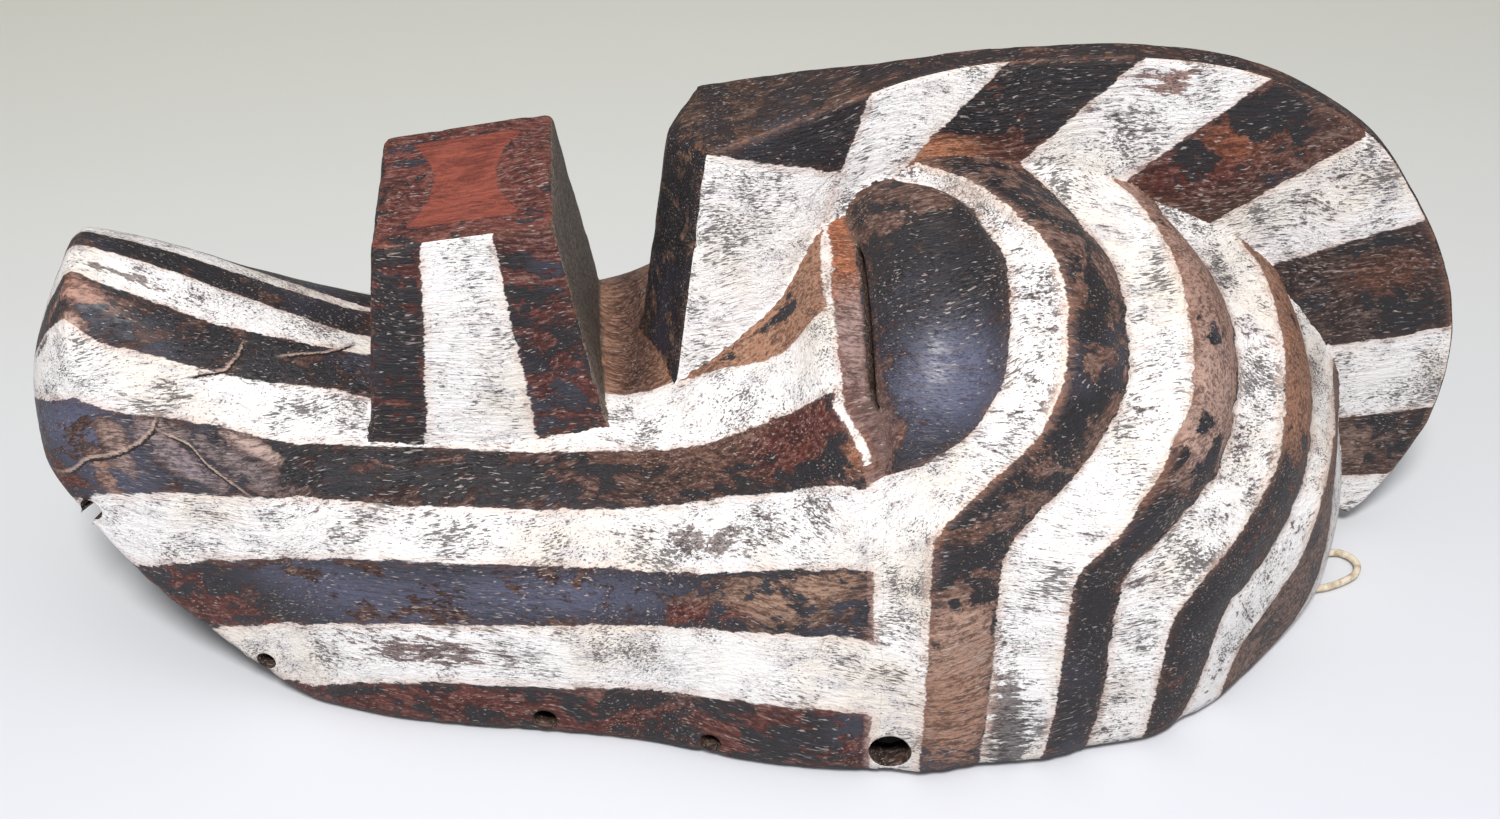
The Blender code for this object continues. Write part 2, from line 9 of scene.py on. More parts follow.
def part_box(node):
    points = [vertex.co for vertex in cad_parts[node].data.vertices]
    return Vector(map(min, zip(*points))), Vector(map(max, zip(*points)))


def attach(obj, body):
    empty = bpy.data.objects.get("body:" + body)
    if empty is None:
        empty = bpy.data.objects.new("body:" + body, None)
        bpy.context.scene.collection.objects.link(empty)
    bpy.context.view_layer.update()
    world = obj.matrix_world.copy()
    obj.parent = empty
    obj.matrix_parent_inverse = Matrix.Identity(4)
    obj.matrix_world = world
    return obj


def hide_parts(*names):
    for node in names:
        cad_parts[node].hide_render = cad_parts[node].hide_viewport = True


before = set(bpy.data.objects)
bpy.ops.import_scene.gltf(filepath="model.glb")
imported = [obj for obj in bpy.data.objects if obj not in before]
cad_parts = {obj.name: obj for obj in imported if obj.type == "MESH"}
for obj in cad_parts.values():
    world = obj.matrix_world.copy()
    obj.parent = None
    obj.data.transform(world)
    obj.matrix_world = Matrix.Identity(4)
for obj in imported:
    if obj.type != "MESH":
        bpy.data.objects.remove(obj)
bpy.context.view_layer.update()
print("frame loaded")


# Camera, at the photograph's angle

viewSettings = {
    "imageWidth": 1500, "imageHeight": 819,
    "focalPixels": 1930.0,                    # focal length as pixels of that image
    "target": (-0.006, 0.0, 0.069),
    "distance": 0.68,
    "elevation": 38.0, "turned": 5.0,         # degrees
}


def makeCamera(settings):
    elevation, turned = math.radians(settings["elevation"]), math.radians(settings["turned"])
    ahead = Vector((
        math.sin(turned) * math.cos(elevation), math.cos(turned) * math.cos(elevation), -math.sin(elevation),
    ))
    lens = bpy.data.cameras.new("studioCamera")
    lens.sensor_width = 36.0
    lens.lens = settings["focalPixels"] / settings["imageWidth"] * lens.sensor_width
    lens.clip_start = 0.02
    camera = bpy.data.objects.new("studioCamera", lens)
    bpy.context.scene.collection.objects.link(camera)
    camera.location = Vector(settings["target"]) - ahead * settings["distance"]
    camera.rotation_mode = 'QUATERNION'
    camera.rotation_quaternion = ahead.to_track_quat('-Z', 'Y')
    bpy.context.scene.camera = camera


makeCamera(viewSettings)
print("camera set")


# Shader maths as plain sums

class Wire:
    # a socket in a material's node tree

    def __init__(self, tree, socket):
        self.tree, self.socket = tree, socket

    def math(self, operation, first, second=None):
        return node(self.tree, 'ShaderNodeMath', {"operation": operation}, {0: first, 1: second})

    def __add__(self, other):
        return self.math('ADD', self, other)

    def __radd__(self, other):
        return self.math('ADD', other, self)

    def __sub__(self, other):
        return self.math('SUBTRACT', self, other)

    def __rsub__(self, other):
        return self.math('SUBTRACT', other, self)

    def __mul__(self, other):
        return self.math('MULTIPLY', self, other)

    def __rmul__(self, other):
        return self.math('MULTIPLY', other, self)

    def __abs__(self):
        return self.math('ABSOLUTE', self)

    def most(self, other):
        return self.math('MAXIMUM', self, other)

    def rise(self, low, high):
        # 0 below low, 1 above high, smooth between
        return node(
            self.tree, 'ShaderNodeMapRange', {"interpolation_type": 'SMOOTHSTEP'},
            {"Value": self, "From Min": low, "From Max": high},
        )


def node(tree, kind, settings=None, values=None, output=0):
    # any node: its settings first, then its sockets' values or links
    made = tree.nodes.new(kind)
    for name, value in (settings or {}).items():
        setattr(made, name, value)
    for name, value in (values or {}).items():
        if value is None:
            continue
        socket = made.inputs[name]
        if isinstance(value, Wire):
            tree.links.new(value.socket, socket)
        elif isinstance(value, tuple) and socket.type == 'RGBA':
            socket.default_value = (*value, 1)
        else:
            socket.default_value = value
    return Wire(tree, made.outputs[output])


def mixColour(tree, share, first, second, blend='MIX'):
    return node(
        tree, 'ShaderNodeMix', {"data_type": 'RGBA', "blend_type": blend, "clamp_factor": True},
        {0: share, 6: first, 7: second}, output=2,
    )


def stretched(tree, place, along):
    # the place drawn out along the mask, as the wood's grain is
    return node(tree, 'ShaderNodeMapping', {}, {"Vector": place, "Scale": (along, 1.0, 1.0)})


def mottle(tree, place, scale, detail=3.0, roughness=0.55, distortion=0.0):
    return node(
        tree, 'ShaderNodeTexNoise', {},
        {"Vector": place, "Scale": scale, "Detail": detail, "Roughness": roughness, "Distortion": distortion},
    )


def field(tree, name, output="Fac"):
    return node(tree, 'ShaderNodeAttribute', {"attribute_name": name}, output=output)


def rgb(red, green, blue):
    # a colour seen on the photograph's 0 to 255 scale, as light
    return tuple(
        c / 12.92 if c <= 0.04045 else ((c + 0.055) / 1.055) ** 2.4
        for c in (red / 255, green / 255, blue / 255)
    )


def startMaterial(name):
    material = bpy.data.materials.new(name)
    material.use_nodes = True
    return material, material.node_tree, material.node_tree.nodes["Principled BSDF"]


def millimetrePlace(tree):
    place = node(tree, 'ShaderNodeTexCoord', output="Object")
    return node(tree, 'ShaderNodeVectorMath', {"operation": 'SCALE'}, {0: place, "Scale": 1000.0})


def feed(tree, shader, name, value):
    tree.links.new(value.socket, shader.inputs[name])


# The carving's form, drawn in millimetres: x from chin to crown, z up from the table

maskForm = {
    # stations of the body: x, half width at the rim, height of the crown line, height of the rim
    "stations": [
        (-241.5, 0.0, 101.0, 86.5), (-240.6, 12.0, 107.0, 86.0), (-238.5, 23.0, 115.0, 84.5),
        (-233.5, 32.5, 127.0, 79.0), (-226.0, 38.5, 141.5, 69.0), (-218.7, 42.2, 152.5, 57.5),
        (-208.5, 46.3, 149.5, 43.3), (-201.0, 49.5, 146.5, 36.0), (-184.0, 55.1, 138.5, 19.8),
        (-174.0, 58.5, 133.0, 10.4), (-163.0, 62.3, 127.5, 3.4), (-155.0, 65.2, 123.5, 0.0),
        (-129.0, 74.5, 112.0, 0.0), (-105.0, 80.0, 107.0, 0.0), (-81.5, 84.1, 106.0, 0.0),
        (-48.0, 91.5, 109.0, 0.0), (-21.5, 101.3, 119.0, 0.0), (3.0, 108.3, 135.0, 0.0),
        (20.0, 111.5, 153.0, 0.0), (36.6, 113.8, 163.0, 0.0), (62.6, 113.9, 167.5, 0.0),
        (89.7, 111.1, 164.5, 0.0), (110.0, 107.8, 157.5, 0.0), (131.9, 101.5, 148.0, 0.0),
        (150.0, 90.0, 136.5, 0.0), (167.2, 75.8, 122.5, 0.0), (180.0, 65.0, 109.0, 1.5),
        (190.0, 55.5, 95.0, 3.5), (200.0, 43.0, 77.0, 4.8), (208.0, 29.0, 57.0, 5.0),
        (214.0, 17.0, 38.0, 5.0), (218.0, 8.0, 20.0, 5.0), (220.5, 0.0, 5.0, 5.0),
    ],
    "sectionPower": 2.2,
    # lines of the carving, as x against the turn up the section: 0 at the rim, 1 at the crown;
    # then how far the line stands off the body, and how far the stretch after it swells
    "lines": [
        ("lidRidge", 3.2, 0.0, [
            (0, 26), (0.1, 25.3), (0.31, 26.3), (0.47, 26.5), (0.6, 19.2), (0.74, 18.9), (0.85, 20),
            (1, 23)]),
        ("eyeSlit", -1.2, 0.0, [
            (0, 29.3), (0.31, 29.7), (0.44, 31.2), (0.52, 31), (0.59, 28.1), (0.78, 28.7), (0.96, 26.6),
            (1, 27)]),
        ("eyeEdge", -1.0, -1.0, [
            (0, 33.9), (0.27, 33.3), (0.38, 34.1), (0.445, 37), (0.485, 55.1), (0.53, 63.2), (0.58, 69.1),
            (0.7, 72.4), (0.76, 72.9), (0.865, 65.9), (0.915, 58), (0.95, 46), (0.975, 36), (1, 33)]),
        ("arris1", 6.4, 2.2, [
            (0, 42.6), (0.26, 42.9), (0.355, 44.4), (0.407, 56), (0.473, 73.4), (0.51, 79.3), (0.56, 84.5),
            (0.63, 87.2), (0.69, 88), (0.745, 86.6), (0.785, 83.6), (0.82, 79), (0.852, 73.8), (0.888, 67.2),
            (0.915, 62), (0.95, 54.3), (0.975, 47.5), (1, 43.5)]),
        ("groove1", -1.8, -1.0, [
            (0, 62.7), (0.14, 64.5), (0.3, 66.2), (0.357, 74.6), (0.41, 87.8), (0.485, 100.2), (0.545, 107.2),
            (0.605, 110.4), (0.735, 111), (0.805, 108.3), (0.87, 101.1), (0.935, 91), (1, 74)]),
        ("arris2", 5.6, 2.0, [
            (0, 83.1), (0.09, 85.8), (0.28, 88.4), (0.33, 99.5), (0.391, 109.2), (0.428, 114.3),
            (0.466, 118.2), (0.495, 121.2), (0.536, 125.2), (0.58, 127.4), (0.65, 128.5), (0.745, 128.1),
            (0.806, 126.9), (0.845, 125), (0.9, 121), (0.945, 116.3), (1, 107)]),
        ("groove2", -1.8, -0.9, [
            (0, 99.1), (0.08, 102.8), (0.265, 106.6), (0.31, 115.8), (0.363, 127), (0.43, 141.5),
            (0.49, 146.7), (0.63, 151.9), (0.71, 152.5), (0.785, 150.7), (0.86, 145.5), (0.92, 136),
            (1, 120)]),
        ("arris3", 4.8, 2.2, [
            (0, 118.8), (0.06, 120.4), (0.19, 122.8), (0.256, 131.5), (0.296, 139.2), (0.331, 146),
            (0.365, 150.8), (0.414, 157.5), (0.448, 160.6), (0.502, 162.9), (0.609, 164.9), (0.723, 166.1),
            (0.8, 165.6), (0.886, 163), (0.94, 158.5), (1, 152)]),
        ("groove3", -1.4, -0.4, [
            (0, 131.8), (0.07, 139.7), (0.187, 148.9), (0.204, 154.5), (0.221, 160.2), (0.249, 166),
            (0.28, 170.9), (0.315, 175.7), (0.357, 179.2), (0.402, 181.7), (0.456, 184), (0.53, 186),
            (0.612, 187.3), (0.703, 188.2), (0.793, 187.6), (0.863, 186), (0.93, 180), (1, 170)]),
        ("arris4", 2.4, 0.5, [
            (0, 149), (0.05, 151.8), (0.09, 155), (0.123, 163.7), (0.163, 172.9), (0.214, 180.5),
            (0.285, 184.6), (0.341, 187.3), (0.411, 189.5), (0.5, 193), (0.62, 195.8), (0.8, 197.3),
            (1, 199)]),
        ("groove4", -0.4, 0.0, [
            (0, 168), (0.022, 185), (0.054, 193.5), (0.125, 198.5), (0.25, 200.5), (0.5, 202.5), (1, 210)]),
    ],
    "reliefByTurn": [(0, 0.28), (0.2, 0.5), (0.36, 0.95), (0.5, 1), (0.9, 1), (0.97, 0.35), (1, 0)],
    "lidByTurn": [(0, 0), (0.38, 0), (0.5, 1), (0.9, 1), (1, 0)],
    "lidReach": 11.0,
    "eyeBulge": 5.5, "eyeTurns": (0.45, 0.975),
    "channelDepth": 7.0, "channelX": (-48.0, 9.0), "channelHalfWidth": 30.0,
    "rootRise": 4.5, "rootReach": 7.0,
    "rootByX": [(-242, 0), (-45, 0), (-10, 0.5), (20, 1), (190, 1), (214, 0.3), (220.5, 0)],
    "sideWall": 10.5, "crownWall": 14.0,
    # columns of the mesh in each stretch between two lines, from the chin on, and its rows
    "columnCounts": [150, 4, 24, 10, 13, 12, 12, 12, 9, 9, 7, 14], "rowCount": 104,
    "hollowCounts": (110, 30),
}
# crest and nose: edge x and z, half thickness there, root x and z, half thickness there
crestForm = {
    "stations": [
        (-18.9, 186.8, 22.7, -31.0, 108.0, 35.5), (-6.0, 190.0, 19.6, -8.0, 117.0, 31.0),
        (8.0, 193.2, 16.3, 8.0, 132.0, 26.0), (20.0, 195.8, 13.4, 19.0, 147.0, 19.0),
        (34.0, 198.4, 9.7, 32.0, 157.5, 12.5), (52.0, 202.0, 6.4, 50.0, 161.0, 8.8),
        (75.0, 204.6, 5.0, 70.0, 161.5, 8.0), (106.5, 205.0, 4.7, 97.0, 156.0, 8.0),
        (126.0, 203.4, 4.7, 113.0, 149.0, 8.0), (147.0, 199.8, 4.7, 127.0, 143.0, 8.0),
        (166.0, 193.3, 4.7, 140.0, 136.0, 8.0), (183.0, 184.0, 4.7, 152.0, 128.0, 8.0),
        (202.5, 170.0, 4.7, 163.0, 117.0, 8.0), (216.5, 152.5, 4.7, 172.0, 108.0, 8.0),
        (226.5, 137.5, 4.7, 178.0, 101.0, 8.0), (235.5, 121.0, 4.7, 184.0, 92.0, 8.0),
        (242.5, 103.0, 4.7, 190.0, 81.0, 8.0), (246.6, 84.0, 4.7, 196.0, 70.0, 7.8),
        (247.5, 67.0, 4.7, 201.0, 59.0, 7.4), (245.5, 50.0, 4.7, 205.5, 47.0, 7.0),
        (239.0, 31.5, 4.8, 209.5, 35.0, 6.6), (231.0, 16.5, 4.8, 212.5, 24.0, 6.2),
        (223.5, 7.6, 4.8, 214.0, 13.0, 5.6),
    ],
    "prow": ((-30.0, 184.6), (-41.0, 106.0)),       # the nose's front arris, top and foot
    "alongCount": 150, "upCount": 34, "acrossCount": 12,
}
# mouth block: x, z and half width of its chin end and its nose end, on top and at its foot
mouthForm = {
    "top": ((-121.9, 165.7, 34.4), (-65.8, 172.0, 35.2)),
    "foot": ((-130.5, 92.0, 42.0), (-51.5, 92.0, 43.0)),
    "width": 65.0,                          # about, from the chin's side to the nose's
    "counts": {"along": 44, "across": 22, "up": 46},
}
holeForm = {
    "ties": [(-172.6, 18.2, 6.4), (-79.3, 7.6, 8.4), (-25.0, 8.4, 6.8), (32.8, 13.4, 13.6)],
    "chin": (-222.9, 73.5, 7.6),
    "gap": (-228.0, 66.0, 3.8),
    "slitWidth": 1.8, "slitTurns": (0.56, 0.86),
    "stringRoom": 0.8,
}
stringForm = {
    "diameter": 0.0028,
    "route": [                                      # metres, the frame's own: knot, hole, loop, hole, knot
        (0.2192, 0.0178, 0.0150), (0.2142, 0.0162, 0.0149), (0.2092, 0.0146, 0.0148),
        (0.2042, 0.0130, 0.0147), (0.1992, 0.0114, 0.0144), (0.1948, 0.0092, 0.0124),
        (0.1924, 0.0062, 0.0082), (0.1916, 0.0018, 0.0040), (0.1924, -0.0040, 0.0020),
        (0.1960, -0.0104, 0.0018), (0.2015, -0.0160, 0.0018), (0.2075, -0.0194, 0.0018),
        (0.2125, -0.0202, 0.0020), (0.2163, -0.0234, 0.0022), (0.2172, -0.0280, 0.0022),
        (0.2146, -0.0325, 0.0020), (0.2088, -0.0357, 0.0018), (0.2016, -0.0380, 0.0018),
        (0.1940, -0.0384, 0.0018), (0.1868, -0.0362, 0.0018), (0.1812, -0.0308, 0.0018),
        (0.1774, -0.0226, 0.0018), (0.1756, -0.0130, 0.0018), (0.1750, -0.0030, 0.0018),
        (0.1756, 0.0070, 0.0020), (0.1772, 0.0150, 0.0036), (0.1794, 0.0206, 0.0078),
        (0.1828, 0.0246, 0.0124), (0.1875, 0.0280, 0.0146), (0.1929, 0.0316, 0.0150),
        (0.1983, 0.0353, 0.0150), (0.2036, 0.0389, 0.0150),
    ],
}
maskLow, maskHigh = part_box("mask")
chinTip = maskForm["stations"][0][0]
headEnd = maskForm["stations"][-1][0]
crestBack = max(s[0] for s in crestForm["stations"])
drawnUnit = (maskHigh.x - maskLow.x) / (crestBack - chinTip)        # metres to a drawn millimetre
middleX = (crestBack + chinTip) / 2


def through(points, value):
    # smooth curve through the points that never overshoots them
    x, y = np.array(points, float)[:, :2].T
    h = np.diff(x)
    slope = np.diff(y) / h
    before, after = 2 * h[1:] + h[:-1], h[1:] + 2 * h[:-1]
    with np.errstate(divide='ignore', invalid='ignore'):
        meanSlope = (before + after) / (before / slope[:-1] + after / slope[1:])
    inner = np.where(slope[:-1] * slope[1:] > 0, meanSlope, 0)
    rate = np.concatenate([[slope[0]], inner, [slope[-1]]])
    v = np.clip(value, x[0], x[-1])
    i = np.clip(np.searchsorted(x, v) - 1, 0, len(h) - 1)
    t = (v - x[i]) / h[i]
    return (
        (1 + 2 * t) * (1 - t) ** 2 * y[i] + t * (1 - t) ** 2 * h[i] * rate[i]
        + t * t * (3 - 2 * t) * y[i + 1] + t * t * (t - 1) * h[i] * rate[i + 1]
    )


halfWidths = [(s[0], s[1]) for s in maskForm["stations"]]
crownHeights = [(s[0], s[2]) for s in maskForm["stations"]]
rimHeights = [(s[0], s[3]) for s in maskForm["stations"]]


def sectionPoints(x, turn, halfWidth, crown, rim):
    angle = turn * math.pi / 2
    share = 2 / maskForm["sectionPower"]
    y = -halfWidth * np.clip(np.cos(angle), 0, 1) ** share
    return np.stack([x + 0 * y, y, rim + (crown - rim) * np.clip(np.sin(angle), 0, 1) ** share], -1)


def bodyPoints(x, turn):
    return sectionPoints(x, turn, through(halfWidths, x), through(crownHeights, x), through(rimHeights, x))


def bodyNormals(x, turn):
    stepX, stepTurn = 0.4, 0.004
    along = bodyPoints(np.minimum(x + stepX, headEnd), turn)
    along = along - bodyPoints(np.maximum(x - stepX, chinTip), turn)
    up = bodyPoints(x, np.minimum(turn + stepTurn, 1)) - bodyPoints(x, np.maximum(turn - stepTurn, 0))
    normal = np.cross(along, up)
    normal[..., 1] = np.where(turn >= 1, 0, normal[..., 1])
    normal[..., 2] = np.where(turn <= 0, 0, normal[..., 2])
    length = np.linalg.norm(normal, axis=-1, keepdims=True)
    return np.where(length > 1e-9, normal / np.maximum(length, 1e-9), 0)


lineNames = [line[0] for line in maskForm["lines"]]


def lineX(line, turn):
    if line < 0:
        return np.full_like(turn, chinTip)
    if line >= len(lineNames):
        return np.full_like(turn, headEnd)
    return through(maskForm["lines"][line][3], turn)


def bodyRelief(line, share, x, turn, y):
    # height of the carving over the plain body; line -1 is the cheek, before the lid
    form = maskForm
    level = through(form["reliefByTurn"], turn)
    across, along = y / form["channelHalfWidth"], (x - form["channelX"][0]) / form["channelX"][1]
    channel = form["channelDepth"] * np.exp(-(across ** 4) - along ** 2)
    lid = form["lines"][0][1] * through(form["lidByTurn"], turn)
    root = form["rootRise"] * through(form["rootByX"], x)
    root = root * np.exp(-np.maximum(abs(y) - 6.0, 0) / form["rootReach"])
    if line < 0:
        ahead = lineX(0, turn) - x
        return root - channel + lid * np.exp(-((ahead / form["lidReach"]) ** 2))

    def standsOff(number):
        height = form["lines"][number][1] * level
        return height * np.clip((turn - 0.34) / 0.12, 0, 1) if number in (1, 2) else height

    start = lid if line == 0 else standsOff(line)
    swell = form["lines"][line][2] * level
    end = standsOff(line + 1) if line + 1 < len(lineNames) else 0 * level
    height = start + (end - start) * share + swell * 4 * share * (1 - share)
    if line == 1:
        low, high = form["eyeTurns"]
        reach = np.clip((turn - low) / (high - low), 0, 1)
        lens = (4 * share * (1 - share)) ** 0.6 * np.minimum(1, 9 * reach * (1 - reach)) ** 0.7
        height = height + form["eyeBulge"] * lens
    return root + height


# Patches: grids of points with the paint that goes on them, welded into closed forms

patches = {}
darkBrown = rgb(74, 48, 42)
redBrown = rgb(92, 42, 34)
tanWood = rgb(162, 118, 92)
pinkTan = rgb(178, 146, 132)
umber = rgb(98, 68, 56)
greyBrown = rgb(124, 106, 98)
orangeWood = rgb(166, 98, 62)
boreBrown = rgb(70, 50, 40)
noseBrown = rgb(78, 56, 46)
noWhite = -20.0                         # mm to the nearest white paint; white lies where this is above 0
paintFields = (
    "whiteDepth", "worn", "whiteWorn", "gloss", "blue", "arris", "hollow", "redness", "crack", "crackNear",
)


def addPatch(name, points, paint, across=1):
    # points: an array of columns, rows and x, y, z in drawn millimetres; paint: a field's name to its values;
    # across: -1 puts the patch on the far side
    columnCount, rowCount = points.shape[:2]
    shape = (columnCount, rowCount)
    kept = {key: np.broadcast_to(paint.get(key, 0.0), shape).reshape(-1) for key in paintFields}
    tone = np.broadcast_to(paint.get("tone", darkBrown), (*shape, 3)).reshape(-1, 3)
    number = np.arange(columnCount * rowCount).reshape(shape)
    quads = np.stack([number[:-1, :-1], number[1:, :-1], number[1:, 1:], number[:-1, 1:]], -1).reshape(-1, 4)
    patches[name] = {
        "points": points.reshape(-1, 3) * (1, across, 1), "quads": quads[:, ::across],
        "paint": kept, "tone": tone,
    }
    return name


def mirrored(name, far):
    # the same patch on the other side
    near = patches[name]
    patches[far] = {
        "points": near["points"] * (1, -1, 1), "quads": near["quads"][:, ::-1],
        "paint": near["paint"], "tone": near["tone"],
    }
    return far


def weldedObject(name, patchNames):
    # one closed mesh of several patches; its material slots say which patch a face came from
    points, faces, slots, start = [], [], [], 0
    for slot, patchName in enumerate(patchNames):
        patch = patches[patchName]
        points.append(patch["points"])
        faces.append(patch["quads"] + start)
        slots.append(np.full(len(patch["quads"]), slot))
        start += len(patch["points"])
    points, faces, slots = np.concatenate(points), np.concatenate(faces), np.concatenate(slots)
    rounded = np.round(points * 500).astype(np.int64)       # points nearer than a 500th are one
    _, first, same = np.unique(rounded, axis=0, return_index=True, return_inverse=True)
    faces = same.reshape(-1)[faces]
    points = points[first]
    kept, keptSlots = [], []
    for face, slot in zip(faces.tolist(), slots.tolist()):
        corners = [c for k, c in enumerate(face) if c not in face[:k]]
        if len(corners) > 2:
            kept.append(corners)
            keptSlots.append(slot)
    mesh = bpy.data.meshes.new(name)
    mesh.from_pydata(points.tolist(), [], kept)
    for patchName in patchNames:
        mesh.materials.append(bpy.data.materials.get(patchName) or bpy.data.materials.new(patchName))
    mesh.polygons.foreach_set("material_index", np.array(keptSlots, np.int32))
    shell = bmesh.new()
    shell.from_mesh(mesh)
    bmesh.ops.recalc_face_normals(shell, faces=shell.faces)
    openEdges = sum(1 for edge in shell.edges if len(edge.link_faces) != 2)
    shell.to_mesh(mesh)
    shell.free()
    print(name, len(mesh.polygons), "faces,", openEdges, "open edges")
    made = bpy.data.objects.new(name, mesh)
    bpy.context.scene.collection.objects.link(made)
    return made


def ruled(nearLine, farLine, count):
    # grid between two lines of points
    share = np.linspace(0, 1, count + 1)[:, None, None]
    return nearLine[None] * (1 - share) + farLine[None] * share


# Paint: where the white and the dark go

# borders of the lengthwise stripes on chin and cheek, as turn against x, from the rim up
cheekStripes = {
    "borders": [
        [(-172, 0.0), (-162, 0.03), (-109, 0.109), (-77, 0.115), (-33, 0.133), (-3, 0.123), (26, 0.099)],
        [(-192, 0.0), (-182, 0.062), (-158, 0.168), (-119, 0.237), (-77, 0.26), (-32, 0.274), (-3, 0.256),
         (26, 0.214)],
        [(-216, 0.0), (-178, 0.225), (-156, 0.311), (-123, 0.378), (-83.5, 0.395), (-8, 0.375), (26, 0.318)],
        [(-229, 0.018), (-214, 0.177), (-175, 0.376), (-142.5, 0.476), (-105.6, 0.519), (-23, 0.524),
         (0, 0.502), (27, 0.441)],
        [(-240, 0.44), (-223, 0.385), (-198, 0.461), (-172, 0.54), (-157, 0.568), (-136, 0.623),
         (-105, 0.664), (-54, 0.654), (-22, 0.639), (-3, 0.638), (16, 0.614), (27, 0.6)],
        [(-241, 0.78), (-232, 0.72), (-212, 0.6), (-195.5, 0.633), (-177, 0.669), (-161, 0.706),
         (-138, 0.763), (-130, 0.77), (-60, 0.86)],
        [(-241, 0.9), (-211.5, 0.813), (-198, 0.81), (-181, 0.815), (-165, 0.845), (-140.5, 0.888),
         (-130, 0.903), (-60, 0.95)],
        [(-241, 0.97), (-60, 0.965)],
    ],
    "endX": 26.5,                                   # the dark ones stop here, at the upright white band
    "upperBorder": [(-60, 0.83), (-42, 0.795), (-19, 0.79), (2.6, 0.755), (18.3, 0.76), (30, 0.77)],
    "farTop": [(-242, 0.92), (-70, 0.93), (-58, 0.85), (-53, 0.5), (-33, 0.5), (-28, 0.9), (10, 1.2)],
}
# borders of the crest's stripes, from its edge to its root, as x, z pairs
crestStripes = {
    "borders": [
        ((32.4, 194.3), (24.9, 172.8)), ((80.4, 208.0), (48.6, 173.4)), ((124.7, 208.0), (82.6, 168.3)),
        ((166.0, 197.1), (114.9, 157.6)), ((199.8, 172.7), (145.7, 140.1)), ((223.2, 137.4), (166.9, 122.5)),
        ((243.3, 92.3), (194.4, 88.1)), ((243.6, 56.6), (210.0, 55.7)), ((229.7, 26.5), (215.6, 26.5)),
    ],
    "noseBorder": ((-18.9, 186.8), (24.9, 172.8)),
    "tones": [darkBrown, rgb(84, 44, 36), rgb(88, 54, 44), rgb(62, 46, 42), rgb(88, 66, 58)],
    "wornShares": [0.3, 0.4, 0.62, 0.52, 0.56],
}
